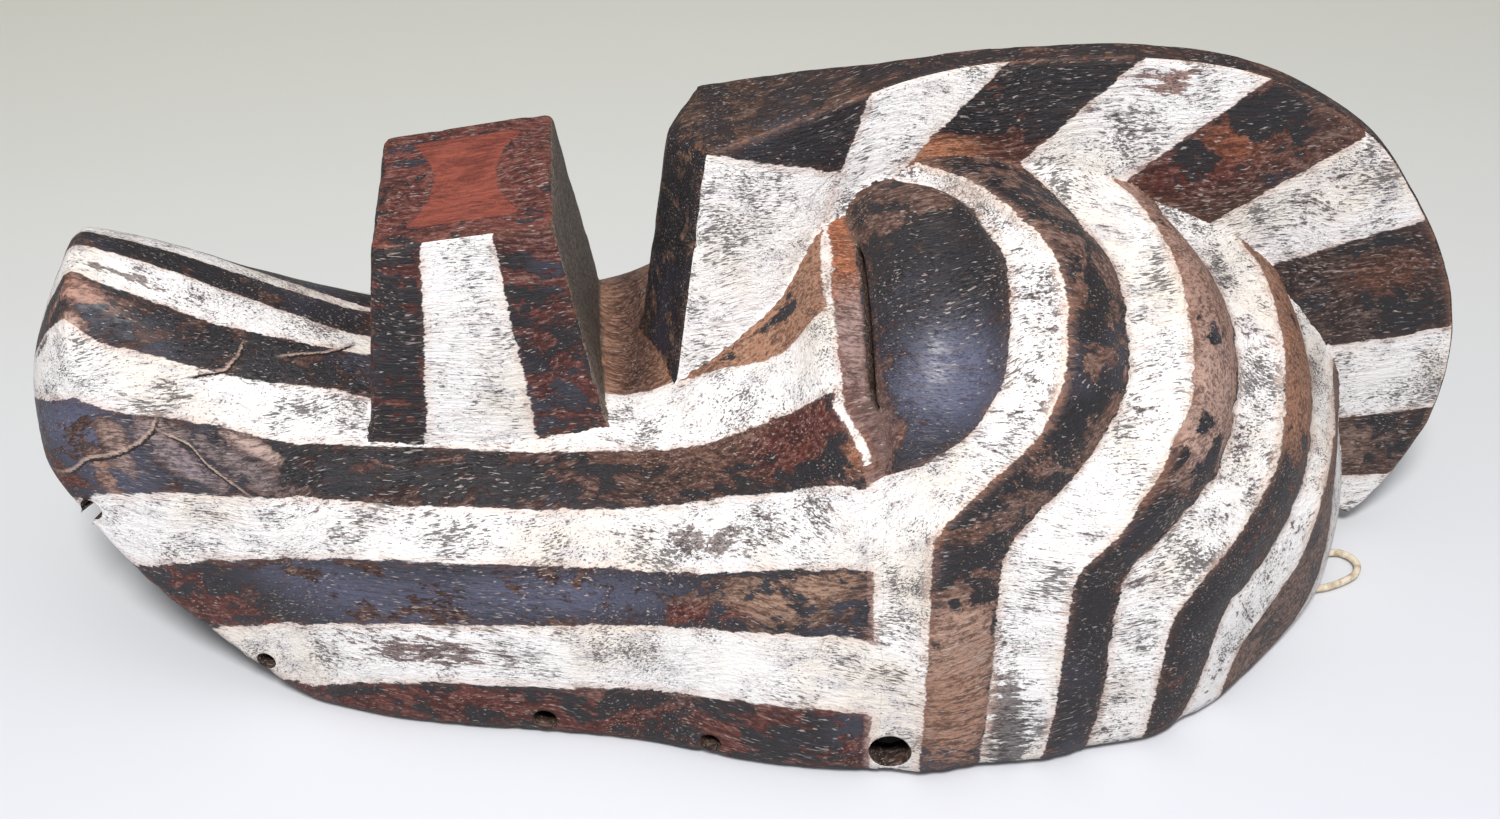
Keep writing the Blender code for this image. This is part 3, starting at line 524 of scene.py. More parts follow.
# places that are worn or chipped more than the rest, or kept their paint better, or take a painted blue-grey
# sheen: along, up, their reaches, what changes and by how much, and the wood's tone there. The far side has
# its own.
bodyMarks = {
    "near": [
        (-15, 0.432, 26, 0.034, "whiteWorn", 0.3, greyBrown),
        (-32, 0.465, 16, 0.022, "whiteWorn", 0.24, greyBrown),
        (-104, 0.182, 30, 0.036, "whiteWorn", 0.32, rgb(104, 66, 58)),
        (-128, 0.165, 22, 0.028, "whiteWorn", 0.22, redBrown),
        (-216, 0.75, 9, 0.04, "worn", 0.62, rgb(170, 128, 112)),
        (-222, 0.625, 8, 0.03, "worn", 0.6, pinkTan),
        (-209.5, 0.343, 4, 0.035, "worn", 0.62, rgb(160, 132, 120)),
        (-214.8, 0.219, 4, 0.04, "worn", 0.6, rgb(164, 128, 112)),
        (-206, 0.285, 4, 0.03, "worn", 0.5, rgb(150, 128, 124)),
        (-165.6, 0.523, 8, 0.016, "worn", 0.62, rgb(180, 156, 146)),
        (-196, 0.43, 8, 0.03, "worn", 0.42, rgb(140, 120, 116)),
        (-173, 0.46, 14, 0.03, "worn", 0.4, rgb(120, 106, 106)),
        (-190, 0.39, 12, 0.03, "worn", 0.36, rgb(132, 118, 122)),
        (-20, 0.61, 26, 0.05, "worn", 0.34, umber), (6, 0.58, 14, 0.05, "worn", 0.3, redBrown),
        (72, 0.04, 7, 0.06, "whiteWorn", 0.55, rgb(58, 58, 66)),
        (68, 0.11, 7, 0.05, "whiteWorn", 0.42, rgb(58, 58, 66)),
        (-45, 0.19, 34, 0.06, "whiteWorn", -0.22, greyBrown), (95, 0.667, 6, 0.05, "worn", -0.3, umber),
        (90, 0.537, 9, 0.035, "worn", -0.45, umber), (84, 0.47, 8, 0.02, "worn", -0.4, umber),
        (53, 0.32, 10, 0.05, "worn", -0.42, umber), (53, 0.2, 12, 0.06, "worn", 0.5, rgb(166, 132, 114)),
        (53, 0.1, 12, 0.06, "worn", 0.5, rgb(154, 116, 96)), (139, 0.685, 5, 0.03, "worn", -0.42, pinkTan),
        (132.7, 0.489, 12, 0.05, "worn", -0.42, pinkTan), (114, 0.368, 10, 0.02, "worn", -0.5, umber),
        (143, 0.766, 8, 0.07, "worn", 0.2, rgb(160, 124, 108)), (135, 0.59, 9, 0.05, "worn", 0.3, pinkTan),
        (96, 0.18, 12, 0.08, "worn", -0.1, darkBrown), (160, 0.41, 9, 0.05, "worn", -0.28, umber),
        (141, 0.21, 10, 0.06, "worn", -0.4, darkBrown),
        (174, 0.65, 9, 0.14, "worn", 0.2, rgb(158, 112, 86)),
        (-207, 0.88, 12, 0.03, "whiteWorn", 0.34, greyBrown),
        (-193, 0.87, 12, 0.03, "whiteWorn", 0.24, greyBrown),
        (-232, 0.68, 4, 0.03, "whiteWorn", 0.5, rgb(70, 66, 70)),
        (-188, 0.56, 10, 0.02, "whiteWorn", 0.2, darkBrown),
        (2, 0.32, 22, 0.04, "worn", 0.26, rgb(150, 118, 98)), (-30, 0.3, 16, 0.02, "worn", 0.14, redBrown),
        # blue marks: the black paint's blue cast with a painted blue-grey sheen
        (-71, 0.33, 42, 0.05, "blue", 0.8, darkBrown), (-140, 0.27, 44, 0.07, "blue", 0.75, darkBrown),
        (-222, 0.3, 22, 0.16, "blue", 1.0, darkBrown), (-218, 0.15, 8, 0.05, "gloss", 0.5, darkBrown),
        # the eye's lower lid, facing the light: a painted blue sheen
        (51, 0.575, 17, 0.075, "blue", 1.3, darkBrown), (29, 0.5, 9, 0.03, "worn", 0.5, rgb(150, 98, 70)),
        (31, 0.56, 5, 0.1, "worn", 0.5, rgb(96, 70, 66)), (3, 0.83, 10, 0.03, "worn", -0.5, tanWood),
        (-14, 0.81, 8, 0.025, "worn", -0.46, tanWood),
    ],
    "far": [
        (-40, 0.45, 14, 0.025, "whiteWorn", 0.7, greyBrown),
        (-90, 0.2, 20, 0.025, "whiteWorn", 0.5, redBrown), (-205, 0.5, 9, 0.05, "worn", 0.9, pinkTan),
        (-180, 0.5, 8, 0.03, "worn", 0.7, pinkTan), (92, 0.58, 9, 0.05, "worn", -0.4, umber),
        (60, 0.36, 10, 0.05, "worn", -0.4, umber), (53, 0.15, 12, 0.09, "worn", 0.45, rgb(145, 108, 88)),
        (135, 0.52, 9, 0.05, "worn", -0.6, pinkTan), (138, 0.7, 9, 0.06, "worn", 0.3, pinkTan),
        (150, 0.3, 10, 0.06, "worn", -0.4, darkBrown), (-60, 0.33, 40, 0.05, "blue", 0.8, darkBrown),
        # the eye's lower lid, facing the light: a painted blue sheen
        (51, 0.575, 17, 0.075, "blue", 1.3, darkBrown),
    ],
}
crestMarks = {
    "near": [
        (98, 200, 22, 18, "worn", -0.34, darkBrown), (56, 175, 12, 4, "worn", 0.6, rgb(176, 116, 84)),
        (118, 193, 9, 9, "worn", 0.5, redBrown), (163, 184, 20, 12, "worn", -0.36, rgb(88, 54, 44)),
        (141, 165, 18, 11, "worn", -0.3, redBrown), (152, 172, 10, 6, "worn", 0.4, rgb(128, 72, 48)),
        (184, 179, 9, 9, "worn", 0.3, rgb(92, 64, 56)), (190, 108, 22, 12, "worn", -0.3, rgb(62, 46, 42)),
        (216, 118, 14, 8, "worn", 0.3, rgb(92, 56, 42)), (226, 49, 16, 10, "worn", -0.32, rgb(88, 66, 58)),
        (217, 44, 7, 7, "worn", 0.4, rgb(120, 96, 84)), (130, 195, 9, 6, "whiteWorn", 0.34, rgb(134, 80, 58)),
        (118, 178, 14, 8, "whiteWorn", 0.26, rgb(96, 90, 92)), (180, 146, 22, 9, "whiteWorn", 0.2, darkBrown),
        (10, 186, 20, 8, "worn", -0.3, darkBrown), (0, 168, 18, 14, "whiteWorn", 0.12, greyBrown),
    ],
    "far": [
        (104, 196, 14, 12, "worn", -0.5, darkBrown), (150, 172, 14, 9, "worn", -0.5, redBrown),
        (200, 112, 15, 8, "worn", -0.6, umber), (222, 46, 10, 7, "worn", -0.4, umber),
        (175, 150, 18, 8, "whiteWorn", 0.3, darkBrown),
    ],
}
# cracks in the chin, mended with a pale filler: x and turn; on the near side only
chinCracks = [
    [(-186, 0.61), (-179, 0.654), (-173, 0.69), (-169, 0.75), (-167, 0.81)],
    [(-158, 0.79), (-151, 0.828), (-143, 0.866), (-138, 0.903), (-135, 0.93)],
    [(-236, 0.03), (-220.5, 0.216), (-207.4, 0.325), (-201.4, 0.378), (-197, 0.426), (-194.5, 0.48)],
    [(-195, 0.434), (-190, 0.44), (-186, 0.443), (-181.5, 0.418), (-175, 0.409), (-168, 0.4)],
]


def withMarks(paint, first, second, marks):
    changed = {key: np.array(value, float) for key, value in paint.items()}
    for a, b, reachA, reachB, name, amount, tone in marks:
        share = np.exp(-(((first - a) / reachA) ** 2 + ((second - b) / reachB) ** 2))
        changed[name] = changed.get(name, 0.0) + amount * share
        if name != "blue" and name != "gloss":
            part = np.clip(share * 1.8, 0, 1)[..., None]
            changed["tone"] = changed["tone"] * (1 - part) + np.array(tone) * part
    return changed


def crackFields(x, up, upByTurn):
    # signed distance to the nearest crack, and how near its middle the place is
    best, signed, near = np.full(x.shape, 1e3), np.full(x.shape, 50.0), np.zeros(x.shape)
    for crack in chinCracks:
        line = np.array([(cx, upByTurn(cx, turn)) for cx, turn in crack])
        count = len(line) - 1
        for number, (start, end) in enumerate(zip(line, line[1:])):
            along = end - start
            length = np.hypot(*along)
            share = ((x - start[0]) * along[0] + (up - start[1]) * along[1]) / length ** 2
            side = (along[0] * (up - start[1]) - along[1] * (x - start[0])) / length
            held = np.clip(share, 0, 1)
            distance = np.hypot(x - start[0] - along[0] * held, up - start[1] - along[1] * held)
            closer = distance < best
            best = np.where(closer, distance, best)
            signed = np.where(closer, np.sign(side) * distance, signed)
            past = (number + held) / count
            ends = np.clip(np.minimum(past, 1 - past) * 9, 0, 1) * (abs(side) >= distance - 0.4)
            near = np.where(closer, ends * np.clip(1.6 - distance / 4, 0, 1), near)
    return signed, near


def sideOf(line, x, z):
    # signed distance from a line through two points, in the x, z plane
    (ax, az), (bx, bz) = line
    length = math.hypot(bx - ax, bz - az)
    return ((bx - ax) * (z - az) - (bz - az) * (x - ax)) / length


def bump(value, centre, reach):
    return np.exp(-(((value - centre) / reach) ** 2))


def blendTones(base, *layers):
    # base tone, then pairs of a share and the tone it brings
    tone = np.broadcast_to(base, layers[0][0].shape + (3,)).copy()
    for share, colour in layers:
        tone += (np.array(colour) - tone) * np.clip(share, 0, 1)[..., None]
    return tone


def bodyPaint(line, share, x, turn, upLength, bandWidth):
    # line and share: which line of the carving the point follows; upLength: the section's length there
    borders = [through(b, x) for b in cheekStripes["borders"]]
    behind = x > -60
    signed = np.full_like(x, -50.0)
    for low, high in ((0, 1), (2, 3), (4, 5), (6, 7)):
        top = borders[high]
        if low == 4:
            top = np.where(behind, through(cheekStripes["upperBorder"], x), top)
        if low == 6:
            inside = np.where(behind, -50.0, np.minimum(turn - borders[low], top - turn) * upLength)
        else:
            inside = np.minimum(turn - borders[low], top - turn) * upLength
        signed = np.maximum(signed, inside)
    upright = np.minimum(x - cheekStripes["endX"], lineX(3, turn) - x)
    cheek = np.maximum(signed, np.where(turn < 0.46, upright, -50.0))
    along = line + share
    ridge = np.full_like(x, -50.0)
    for first in (2, 4, 6, 8, 10):
        ridge = np.maximum(ridge, np.minimum(along - first, first + 1 - along) * bandWidth)
    ridge = np.where(turn < 0.46, np.maximum(ridge, upright), ridge)
    lidLine = 1.2 - abs(along) * bandWidth                     # a thin white line on the lid's ridge
    onFace = (line >= 0) & (turn > 0.45)
    white = np.where(line < 0, cheek, np.where(onFace & (line < 2), -6.0, np.where(line < 2, cheek, ridge)))
    white = np.where((line <= 0) & (turn > 0.47), np.maximum(white, lidLine), white)
    inEye = (line == 1) & (turn > 0.45)

    worn = np.full_like(x, 0.36)
    worn = np.where(line < 0, 0.4 + 0.1 * np.clip((x + 70) / 90, 0, 1) * (turn > 0.4), worn)
    worn = np.where((line < 0) & (turn < 0.14), 0.55, worn)
    worn = np.where((line < 0) & (turn > 0.62) & (x > -60), 0.97, worn)
    worn = np.where((line < 0) & (turn > 0.9) & (x < -120), 0.4, worn)
    worn = np.where(line == 0, 0.98, worn)
    worn = np.where(inEye, np.clip(0.12 + 3.4 * (turn - 0.74), 0.16, 0.72), worn)
    worn = np.where(line == 3, 0.52, worn)
    worn = np.where(line == 5, 0.3 + 0.5 * np.clip((turn - 0.36) / 0.12, 0, 1), worn)
    worn = np.where(line == 7, 0.48 + 0.28 * np.clip((turn - 0.42) / 0.14, 0, 1), worn)
    worn = np.where(line == 9, 0.7, worn)

    high = np.clip((turn - 0.4) / 0.12, 0, 1)
    tone = blendTones(
        darkBrown,
        ((line < 0) * (turn > 0.45) * np.clip((x + 70) / 80, 0, 1), umber),
        ((line < 0) * (turn < 0.14), redBrown),
        ((line < 0) * (turn > 0.7) * (x > -60), tanWood),
        ((line < 0) * (turn > 0.6) * bump(x, -43, 9), umber),
        ((line == 0) * 1.0, rgb(152, 124, 118)),
        ((line == 0) * np.clip((turn - 0.74) / 0.08, 0, 1), orangeWood),
        (inEye * np.clip((turn - 0.74) / 0.1, 0, 1), rgb(92, 66, 56)),
        ((line == 3) * 1.0, rgb(112, 84, 74)),
        ((line == 5) * high, rgb(166, 132, 118)),
        ((line == 7) * high, rgb(150, 108, 86)),
        ((line == 9) * 1.0, rgb(112, 88, 78)),
    )
    # more grey on the white of the eye's socket band, higher up the section: wear and painted shade in the
    # socket
    whiteWorn = 0.1 + 0.12 * ((line >= 2) & (line < 3)) * high + 0.1 * (line >= 6)
    gloss = np.where(inEye, np.clip((0.69 - turn) / 0.08, 0.16, 1), 0.0) + 0.4 * ((line < 0) & (x < -150))
    # closeness to the ridges' arrises, where a worn line with a painted highlight goes
    arrisDistance = np.full_like(x, 30.0)
    for ridgeLine in (3, 5, 7, 9):
        arrisDistance = np.minimum(arrisDistance, abs(along - ridgeLine) * bandWidth)
    arrisNear = np.clip(1 - arrisDistance / 3.5, 0, 1) * np.clip((turn - 0.1) / 0.3, 0.2, 1)
    # closeness to the grooves, where the finish lays dirt with painted shade
    grooveDistance = np.full_like(x, 30.0)
    for grooveLine in (1, 2, 4, 6, 8, 10):
        away = abs(along - grooveLine) * bandWidth + 30.0 * ((grooveLine < 4) & (turn < 0.43))
        grooveDistance = np.minimum(grooveDistance, away)
    hollowNear = np.clip(1 - grooveDistance / 3.0, 0, 1) * (line >= 0)
    return {
        "whiteDepth": white, "worn": worn, "tone": tone, "whiteWorn": whiteWorn, "gloss": gloss,
        "arris": arrisNear, "hollow": hollowNear,
    }


def crestPaint(points, up):
    # up: 0 at the root, 1 at the edge
    x, z = points[..., 0], points[..., 2]
    borders = crestStripes["borders"]
    sides = [sideOf(b, x, z) for b in borders]      # positive towards the crown
    white = np.minimum(-sideOf(crestStripes["noseBorder"], x, z), -sides[0])
    for first in (0, 2, 4, 6):
        white = np.maximum(white, np.minimum(sides[first], -sides[first + 1]))
    white = np.maximum(white, sides[8])
    tone = np.broadcast_to(darkBrown, x.shape + (3,)).copy()
    worn = np.full_like(x, 0.25)
    for number, (first, after) in enumerate(((1, 2), (3, 4), (5, 6), (7, 8))):
        inside = (sides[first] > -3) & (sides[after] < 3)
        tone[inside] = crestStripes["tones"][number + 1]
        worn[inside] = crestStripes["wornShares"][number + 1]
    worn = worn + 0.25 * (up < 0.5)
    return {
        "whiteDepth": white, "worn": worn, "tone": tone,
        "whiteWorn": 0.17 * np.clip((x + 5) / 50, 0, 1) - 0.03,
        # the crest's top edge takes the same worn line with a painted highlight
        "arris": np.clip((up - 0.95) / 0.05, 0, 1) * 0.8,
    }


# Geometry of the carving, finer than the frame's

fineness = 1.0


def bodyPatch():
    rowCount = int(maskForm["rowCount"] * fineness)
    turns = 1 - (1 - np.arange(rowCount + 1) / rowCount) ** 1.12
    columnLines, columnShares = [], []
    for number, count in enumerate(maskForm["columnCounts"]):
        count = max(int(count * fineness), 2)
        shares = np.arange(count) / count
        columnLines += [number - 1] * count
        columnShares += list(shares ** 1.15 if number == 0 else shares)
    columnLines.append(len(lineNames) - 1)
    columnShares.append(1.0)
    grids = {key: [] for key in ("points", *paintFields, "tone")}
    places, lengths = [], []
    for line, share in zip(columnLines, columnShares):
        start, end = lineX(line, turns), lineX(line + 1, turns)
        x = start * (1 - share) + end * share
        plain = bodyPoints(x, turns)
        carved = plain + bodyNormals(x, turns) * bodyRelief(line, share, x, turns, plain[:, 1])[:, None]
        carved[:, 1] = np.minimum(carved[:, 1], 0)
        carved[-1, 1] = 0
        carved[0, 2] = plain[0, 2]
        upLength = np.linalg.norm(np.diff(plain, axis=0), axis=1).sum()
        paint = bodyPaint(line, share, x, turns, upLength, np.maximum(end - start, 1.0))
        grids["points"].append(carved)
        places.append(x)
        lengths.append(upLength)
        for key in (*paintFields, "tone"):
            value = paint.get(key, 0.0)
            grids[key].append(np.broadcast_to(value, (len(turns), 3) if key == "tone" else (len(turns),)))
    grids = {key: np.array(value) for key, value in grids.items()}
    points = grids.pop("points")
    places, lengths = np.array(places), np.array(lengths)
    turnGrid = np.broadcast_to(turns, places.shape)
    upScale = np.median(lengths[places[:, 0] < -130])

    def upByTurn(x, turn):
        return turn * upScale

    near = withMarks(grids, places, turnGrid, bodyMarks["near"])
    near["crack"], near["crackNear"] = crackFields(places, turnGrid * upScale, upByTurn)
    addPatch("bodyNear", points, near)
    far = withMarks(grids, places, turnGrid, bodyMarks["far"])
    top = through(cheekStripes["farTop"], places)
    belowTop = np.minimum(far["whiteDepth"], (top - turnGrid) * upScale)
    far["whiteDepth"] = np.where(places < 10, belowTop, far["whiteDepth"])
    addPatch("bodyFar", points, far, -1)
    rim = points[:, 0]
    middle = rim * (1, 0, 1)
    addPatch("rimNear", np.stack([rim, middle], 1)[::-1], {})
    return weldedObject("carvedMask", ["bodyNear", "bodyFar", "rimNear", mirrored("rimNear", "rimFar")])


def hollowPatch():
    side, crown = maskForm["sideWall"], maskForm["crownWall"]

    def inset(table, wall, x):
        steps = np.linspace(-wall, wall, 81)
        return float(np.min(through(table, x + steps) - np.sqrt(wall ** 2 - steps ** 2)))

    def closes(x):
        width, height = inset(halfWidths, side, x), inset(crownHeights, crown, x) - through(rimHeights, x)
        return x < chinTip or x > headEnd or width < 0.05 or height < 1.0

    def hollowEnd(stop):
        start = 0.0
        for _ in range(40):
            middle = (start + stop) / 2
            if closes(middle):
                stop = middle
            else:
                start = middle
        return start

    first, last = max(hollowEnd(chinTip), chinTip + side), min(hollowEnd(headEnd), headEnd - side)
    count, rowCount = [int(c * fineness) for c in maskForm["hollowCounts"]]
    turns = 1 - (1 - np.arange(rowCount + 1) / rowCount) ** 1.25
    columns = []
    for i in range(count + 1):
        x = first + (last - first) * (1 - math.cos(math.pi * i / count)) / 2
        width = 0.0 if i in (0, count) else max(inset(halfWidths, side, x), 0.05)
        rim = float(through(rimHeights, x))
        height = max(inset(crownHeights, crown, x), rim + 0.5)
        columns.append(sectionPoints(np.full_like(turns, x), turns, width, height, rim))
    points = np.array(columns)
    points[:, -1, 1] = 0
    floor = points[:, 0] - (0, 0, 60)
    wood = {"worn": 1.0, "whiteDepth": noWhite, "tone": rgb(98, 72, 54)}
    addPatch("hollowNear", points, wood)
    addPatch("hollowSideNear", np.stack([floor, points[:, 0]], 1), wood)
    addPatch("hollowFloorNear", np.stack([floor * (1, 0, 1), floor], 1), wood)
    names = ["hollowNear", "hollowSideNear", "hollowFloorNear"]
    return weldedObject("hollowTool", names + [mirrored(n, n.replace("Near", "Far")) for n in names])


def crestPatch():
    stations = np.array(crestForm["stations"])
    along = np.linspace(0, len(stations) - 1, int(crestForm["alongCount"] * fineness))
    index = np.arange(len(stations))
    smooth = np.stack([through(np.stack([index, stations[:, k]], 1), along) for k in range(6)], 1)
    edges = np.stack([smooth[:, 0], -smooth[:, 2], smooth[:, 1]], 1)
    roots = np.stack([smooth[:, 3], -smooth[:, 5], smooth[:, 4]], 1)
    up = np.linspace(0, 1, crestForm["upCount"] + 1)[None, :, None]
    flank = roots[:, None] * (1 - up) + edges[:, None] * up
    across = int(crestForm["acrossCount"] * fineness)
    upShare = np.broadcast_to(up[..., 0], flank.shape[:2])
    paint = crestPaint(flank, upShare)
    addPatch("crestNear", flank, withMarks(paint, flank[..., 0], flank[..., 2], crestMarks["near"]))
    addPatch("crestFar", flank, withMarks(paint, flank[..., 0], flank[..., 2], crestMarks["far"]), -1)
    topGrid = ruled(edges, edges * (1, 0, 1), across)
    onNose = np.clip((45 - topGrid[..., 0]) / 30, 0, 1)
    addPatch("crestTopNear", topGrid, {
        "whiteDepth": -4.0, "worn": 0.45 + 0.05 * onNose, "whiteWorn": 0.3, "arris": 0.1,
        "tone": blendTones(darkBrown, (onNose, noseBrown)),
    })
    addPatch("crestRootNear", ruled(roots, roots * (1, 0, 1), across), {})
    (topX, topZ), (footX, footZ) = crestForm["prow"]
    top, foot = np.array((topX, 0, topZ)), np.array((footX, 0, footZ))
    frontSide, prow = flank[0], foot * (1 - up[0]) + top * up[0]
    addPatch("noseFrontNear", ruled(frontSide, prow, across), {
        "whiteDepth": noWhite, "worn": 0.36, "tone": rgb(112, 84, 66),
    })
    noseTop = np.stack([topGrid[:, 0], ruled(edges[:1], top[None], across)[:, 0]], 1)
    addPatch("noseTopNear", noseTop, {"whiteDepth": noWhite, "worn": 0.52, "tone": noseBrown})
    noseFoot = np.stack([ruled(roots[:1], (roots[:1] * (1, 0, 1)), across)[:, 0],
                         ruled(roots[:1], foot[None], across)[:, 0]], 1)
    addPatch("noseFootNear", noseFoot, {})
    addPatch("crestEndNear", ruled(flank[-1], flank[-1] * (1, 0, 1), across),
             {"whiteDepth": -3.0, "worn": 0.7, "tone": darkBrown})
    names = ["crestTopNear", "crestRootNear", "noseFrontNear", "noseTopNear", "noseFootNear", "crestEndNear"]
    names += [mirrored(n, n.replace("Near", "Far")) for n in names]
    return weldedObject("crestForm", ["crestNear", "crestFar"] + names)


def mouthPatch():
    (chinTop, noseTop), (chinFoot, noseFoot) = [
        [np.array((x, -half, z)) for x, z, half in level] for level in (mouthForm["top"], mouthForm["foot"])
    ]

    def panel(name, ways, corners, paint):
        # corners in order round the panel; the first way runs from the first corner to the second
        a, b, c, d = corners
        s, t = [np.linspace(0, 1, int(mouthForm["counts"][way] * fineness)) for way in ways]
        s, t = s[:, None, None], t[None, :, None]
        points = (a * (1 - s) + b * s) * (1 - t) + (d * (1 - s) + c * s) * t
        across = np.broadcast_to(s[..., 0], points.shape[:2])
        addPatch(name, points, paint(points, across, np.broadcast_to(t[..., 0], points.shape[:2])))

    def nearPaint(points, across, up):
        left, right = 0.235 + 0.04 * up, 0.70 - 0.04 * up
        return {
            "whiteDepth": np.minimum(across - left, right - across) * mouthForm["width"],
            "worn": np.where(across < 0.5, 0.36, 0.46) + 0.2 * np.clip((up - 0.72) / 0.2, 0, 1),
            "tone": rgb(90, 44, 38), "whiteWorn": 0.08,
        }

    def topPaint(points, across, inward):
        y = abs(points[..., 1])
        half = 0.22 + 0.20 * (y / 30) ** 2                  # the red patch widens towards the sides
        red = np.clip((half - abs(across - 0.5)) * 12, -1, 1) * np.clip((27 - y) / 3, -1, 1)
        return {"whiteDepth": noWhite, "worn": 0.72, "tone": rgb(108, 56, 48), "redness": np.clip(red, 0, 1)}

    def backPaint(points, across, up):
        return {"whiteDepth": noWhite, "worn": 0.92, "tone": rgb(112, 100, 90)}

    def plainPaint(points, across, up):
        return {"whiteDepth": noWhite, "worn": 0.5, "tone": redBrown}

    chinFootMid, noseFootMid, noseTopMid, chinTopMid = [
        corner * (1, 0, 1) for corner in (chinFoot, noseFoot, noseTop, chinTop)
    ]
    panel("mouthNear", ("along", "up"), (chinFoot, noseFoot, noseTop, chinTop), nearPaint)
    panel("mouthTopNear", ("along", "across"), (chinTop, noseTop, noseTopMid, chinTopMid), topPaint)
    panel("mouthFootNear", ("along", "across"), (chinFoot, noseFoot, noseFootMid, chinFootMid), plainPaint)
    panel("mouthChinNear", ("across", "up"), (chinFoot, chinFootMid, chinTopMid, chinTop), plainPaint)
    panel("mouthBackNear", ("across", "up"), (noseFoot, noseFootMid, noseTopMid, noseTop), backPaint)
    names = ["mouthNear", "mouthTopNear", "mouthFootNear", "mouthChinNear", "mouthBackNear"]
    return weldedObject("mouthForm", names + [mirrored(n, n.replace("Near", "Far")) for n in names])


def turnAtHeight(x, height):
    crown, rim = through(crownHeights, x), through(rimHeights, x)
    share = max(height - rim, 0) / (crown - rim)
    return math.asin(min(share, 1) ** (maskForm["sectionPower"] / 2)) * 2 / math.pi


def boredObject(name, bars, sides=28):
    # closed tubes between pairs of rings; each bar: two centres and a radius
    wood = {"worn": 1.0, "whiteDepth": noWhite, "tone": boreBrown}
    names = []
    for number, (start, end, radius) in enumerate(bars):
        start, end = np.array(start, float), np.array(end, float)
        axis = (end - start) / np.linalg.norm(end - start)
        across = np.cross(axis, (0, 0, 1))
        across /= np.linalg.norm(across)
        up = np.cross(across, axis)
        angle = np.linspace(0, 2 * math.pi, sides + 1)[None, :, None]
        angle[0, -1, 0] = 0
        ring = across * np.cos(angle) * radius + up * np.sin(angle) * radius
        share = np.array([0, 1])[:, None, None]
        wall = ring + start * (1 - share) + end * share
        caps = [np.stack([wall[k], np.broadcast_to((start, end)[k], wall[k].shape)], 0) for k in (0, 1)]
        names.append(addPatch(f"{name}Wall{number}", wall, wood))
        names += [addPatch(f"{name}Cap{number}{k}", cap, wood) for k, cap in enumerate(caps)]
    return weldedObject(name, names)


def holeBars():
    bars = []
    for x, height, diameter in holeForm["ties"]:
        turn = np.array(turnAtHeight(x, height))
        place, out = bodyPoints(np.array(x), turn), bodyNormals(np.array(x), turn)
        out = out * (1, 1, 0)
        out /= np.linalg.norm(out)
        reach = 3 * maskForm["sideWall"]
        for flip in ((1, 1, 1), (1, -1, 1)):
            bars.append(((place - out * reach) * flip, (place + out * reach) * flip, diameter / 2))
    return bars


def chinHolePlace():
    x, height, _ = holeForm["chin"]
    turn = np.array(turnAtHeight(x, height))
    return bodyPoints(np.array(x), turn), bodyNormals(np.array(x), turn)


def chinBars():
    place, out = chinHolePlace()
    reach = 2 * maskForm["sideWall"]
    return [(place - out * reach, place + out * reach, holeForm["chin"][2] / 2)]


def gapObject():
    # the break that joins the chin's hole to the rim's edge, wider towards the edge
    place, out = chinHolePlace()
    x, height, width = holeForm["gap"]
    towards = np.array((x, place[1], height)) - place
    across = np.cross(out, towards)
    across = across / np.linalg.norm(across) * width / 2
    reach = 2 * maskForm["sideWall"]
    end = place + towards * 2.2
    corners = [place - across, place + across, end + across * 1.5, end - across * 1.5]
    points = [c + out * depth for depth in (-reach, reach) for c in corners]
    return plainSolid("chinGap", points)


def plainSolid(name, points):
    # convex solid over eight corners: four below, four above
    mesh = bpy.data.meshes.new(name)
    sides = [(k, (k + 1) % 4, (k + 1) % 4 + 4, k + 4) for k in range(4)]
    mesh.from_pydata([tuple(p) for p in points], [], [(3, 2, 1, 0), (4, 5, 6, 7), *sides])
    return finishTool(name, mesh)


def finishTool(name, mesh):
    mesh.materials.append(bpy.data.materials.get("boredWood") or bpy.data.materials.new("boredWood"))
    shell = bmesh.new()
    shell.from_mesh(mesh)
    bmesh.ops.remove_doubles(shell, verts=shell.verts, dist=1e-4)
    bmesh.ops.recalc_face_normals(shell, faces=shell.faces)
    shell.to_mesh(mesh)
    shell.free()
    made = bpy.data.objects.new(name, mesh)
    bpy.context.scene.collection.objects.link(made)
    return made


def slitObjects():
    # one narrow slit along the straight side of each eye, right through the wall
    tools = []
    half, reach = holeForm["slitWidth"] / 2, 2.2 * maskForm["crownWall"]
    turns = np.linspace(*holeForm["slitTurns"], 25)
    x = lineX(1, turns)
    place, out = bodyPoints(x, turns), bodyNormals(x, turns)
    along = np.array((1, 0, 0)) - out * out[:, :1]
    along /= np.linalg.norm(along, axis=1, keepdims=True)
    # both ends of the slit are drawn to a point
    taper = np.clip(np.minimum(turns - turns[0], turns[-1] - turns) / 0.035, 0.25, 1)[:, None]
    rings = np.stack([
        place - along * half * taper - out * reach, place + along * half * taper - out * reach,
        place + along * half * taper + out * 14, place - along * half * taper + out * 14,
    ], 1)
    count = len(turns)
    faces = [(i * 4 + k, i * 4 + (k + 1) % 4, i * 4 + 4 + (k + 1) % 4, i * 4 + 4 + k)
             for i in range(count - 1) for k in range(4)]
    faces += [(3, 2, 1, 0), tuple(range(count * 4 - 4, count * 4))]
    for flip in (1, -1):
        mesh = bpy.data.meshes.new("eyeSlit")
        mesh.from_pydata((rings.reshape(-1, 3) * (1, flip, 1)).tolist(), [], faces)
        tools.append(finishTool("eyeSlit", mesh))
    return tools


def stringBars():
    # the string's two holes, along its first and last stretches
    radius = stringForm["diameter"] / drawnUnit / 2 + holeForm["stringRoom"]
    bars = []
    for outer, inner in ((0, 4), (-1, -4)):
        out, into = [np.array(stringForm["route"][k]) / drawnUnit + (middleX, 0, 0) for k in (outer, inner)]
        stretch = (out - into) / np.linalg.norm(out - into) * 4
        bars.append((into - stretch, out + stretch, radius))
    return bars


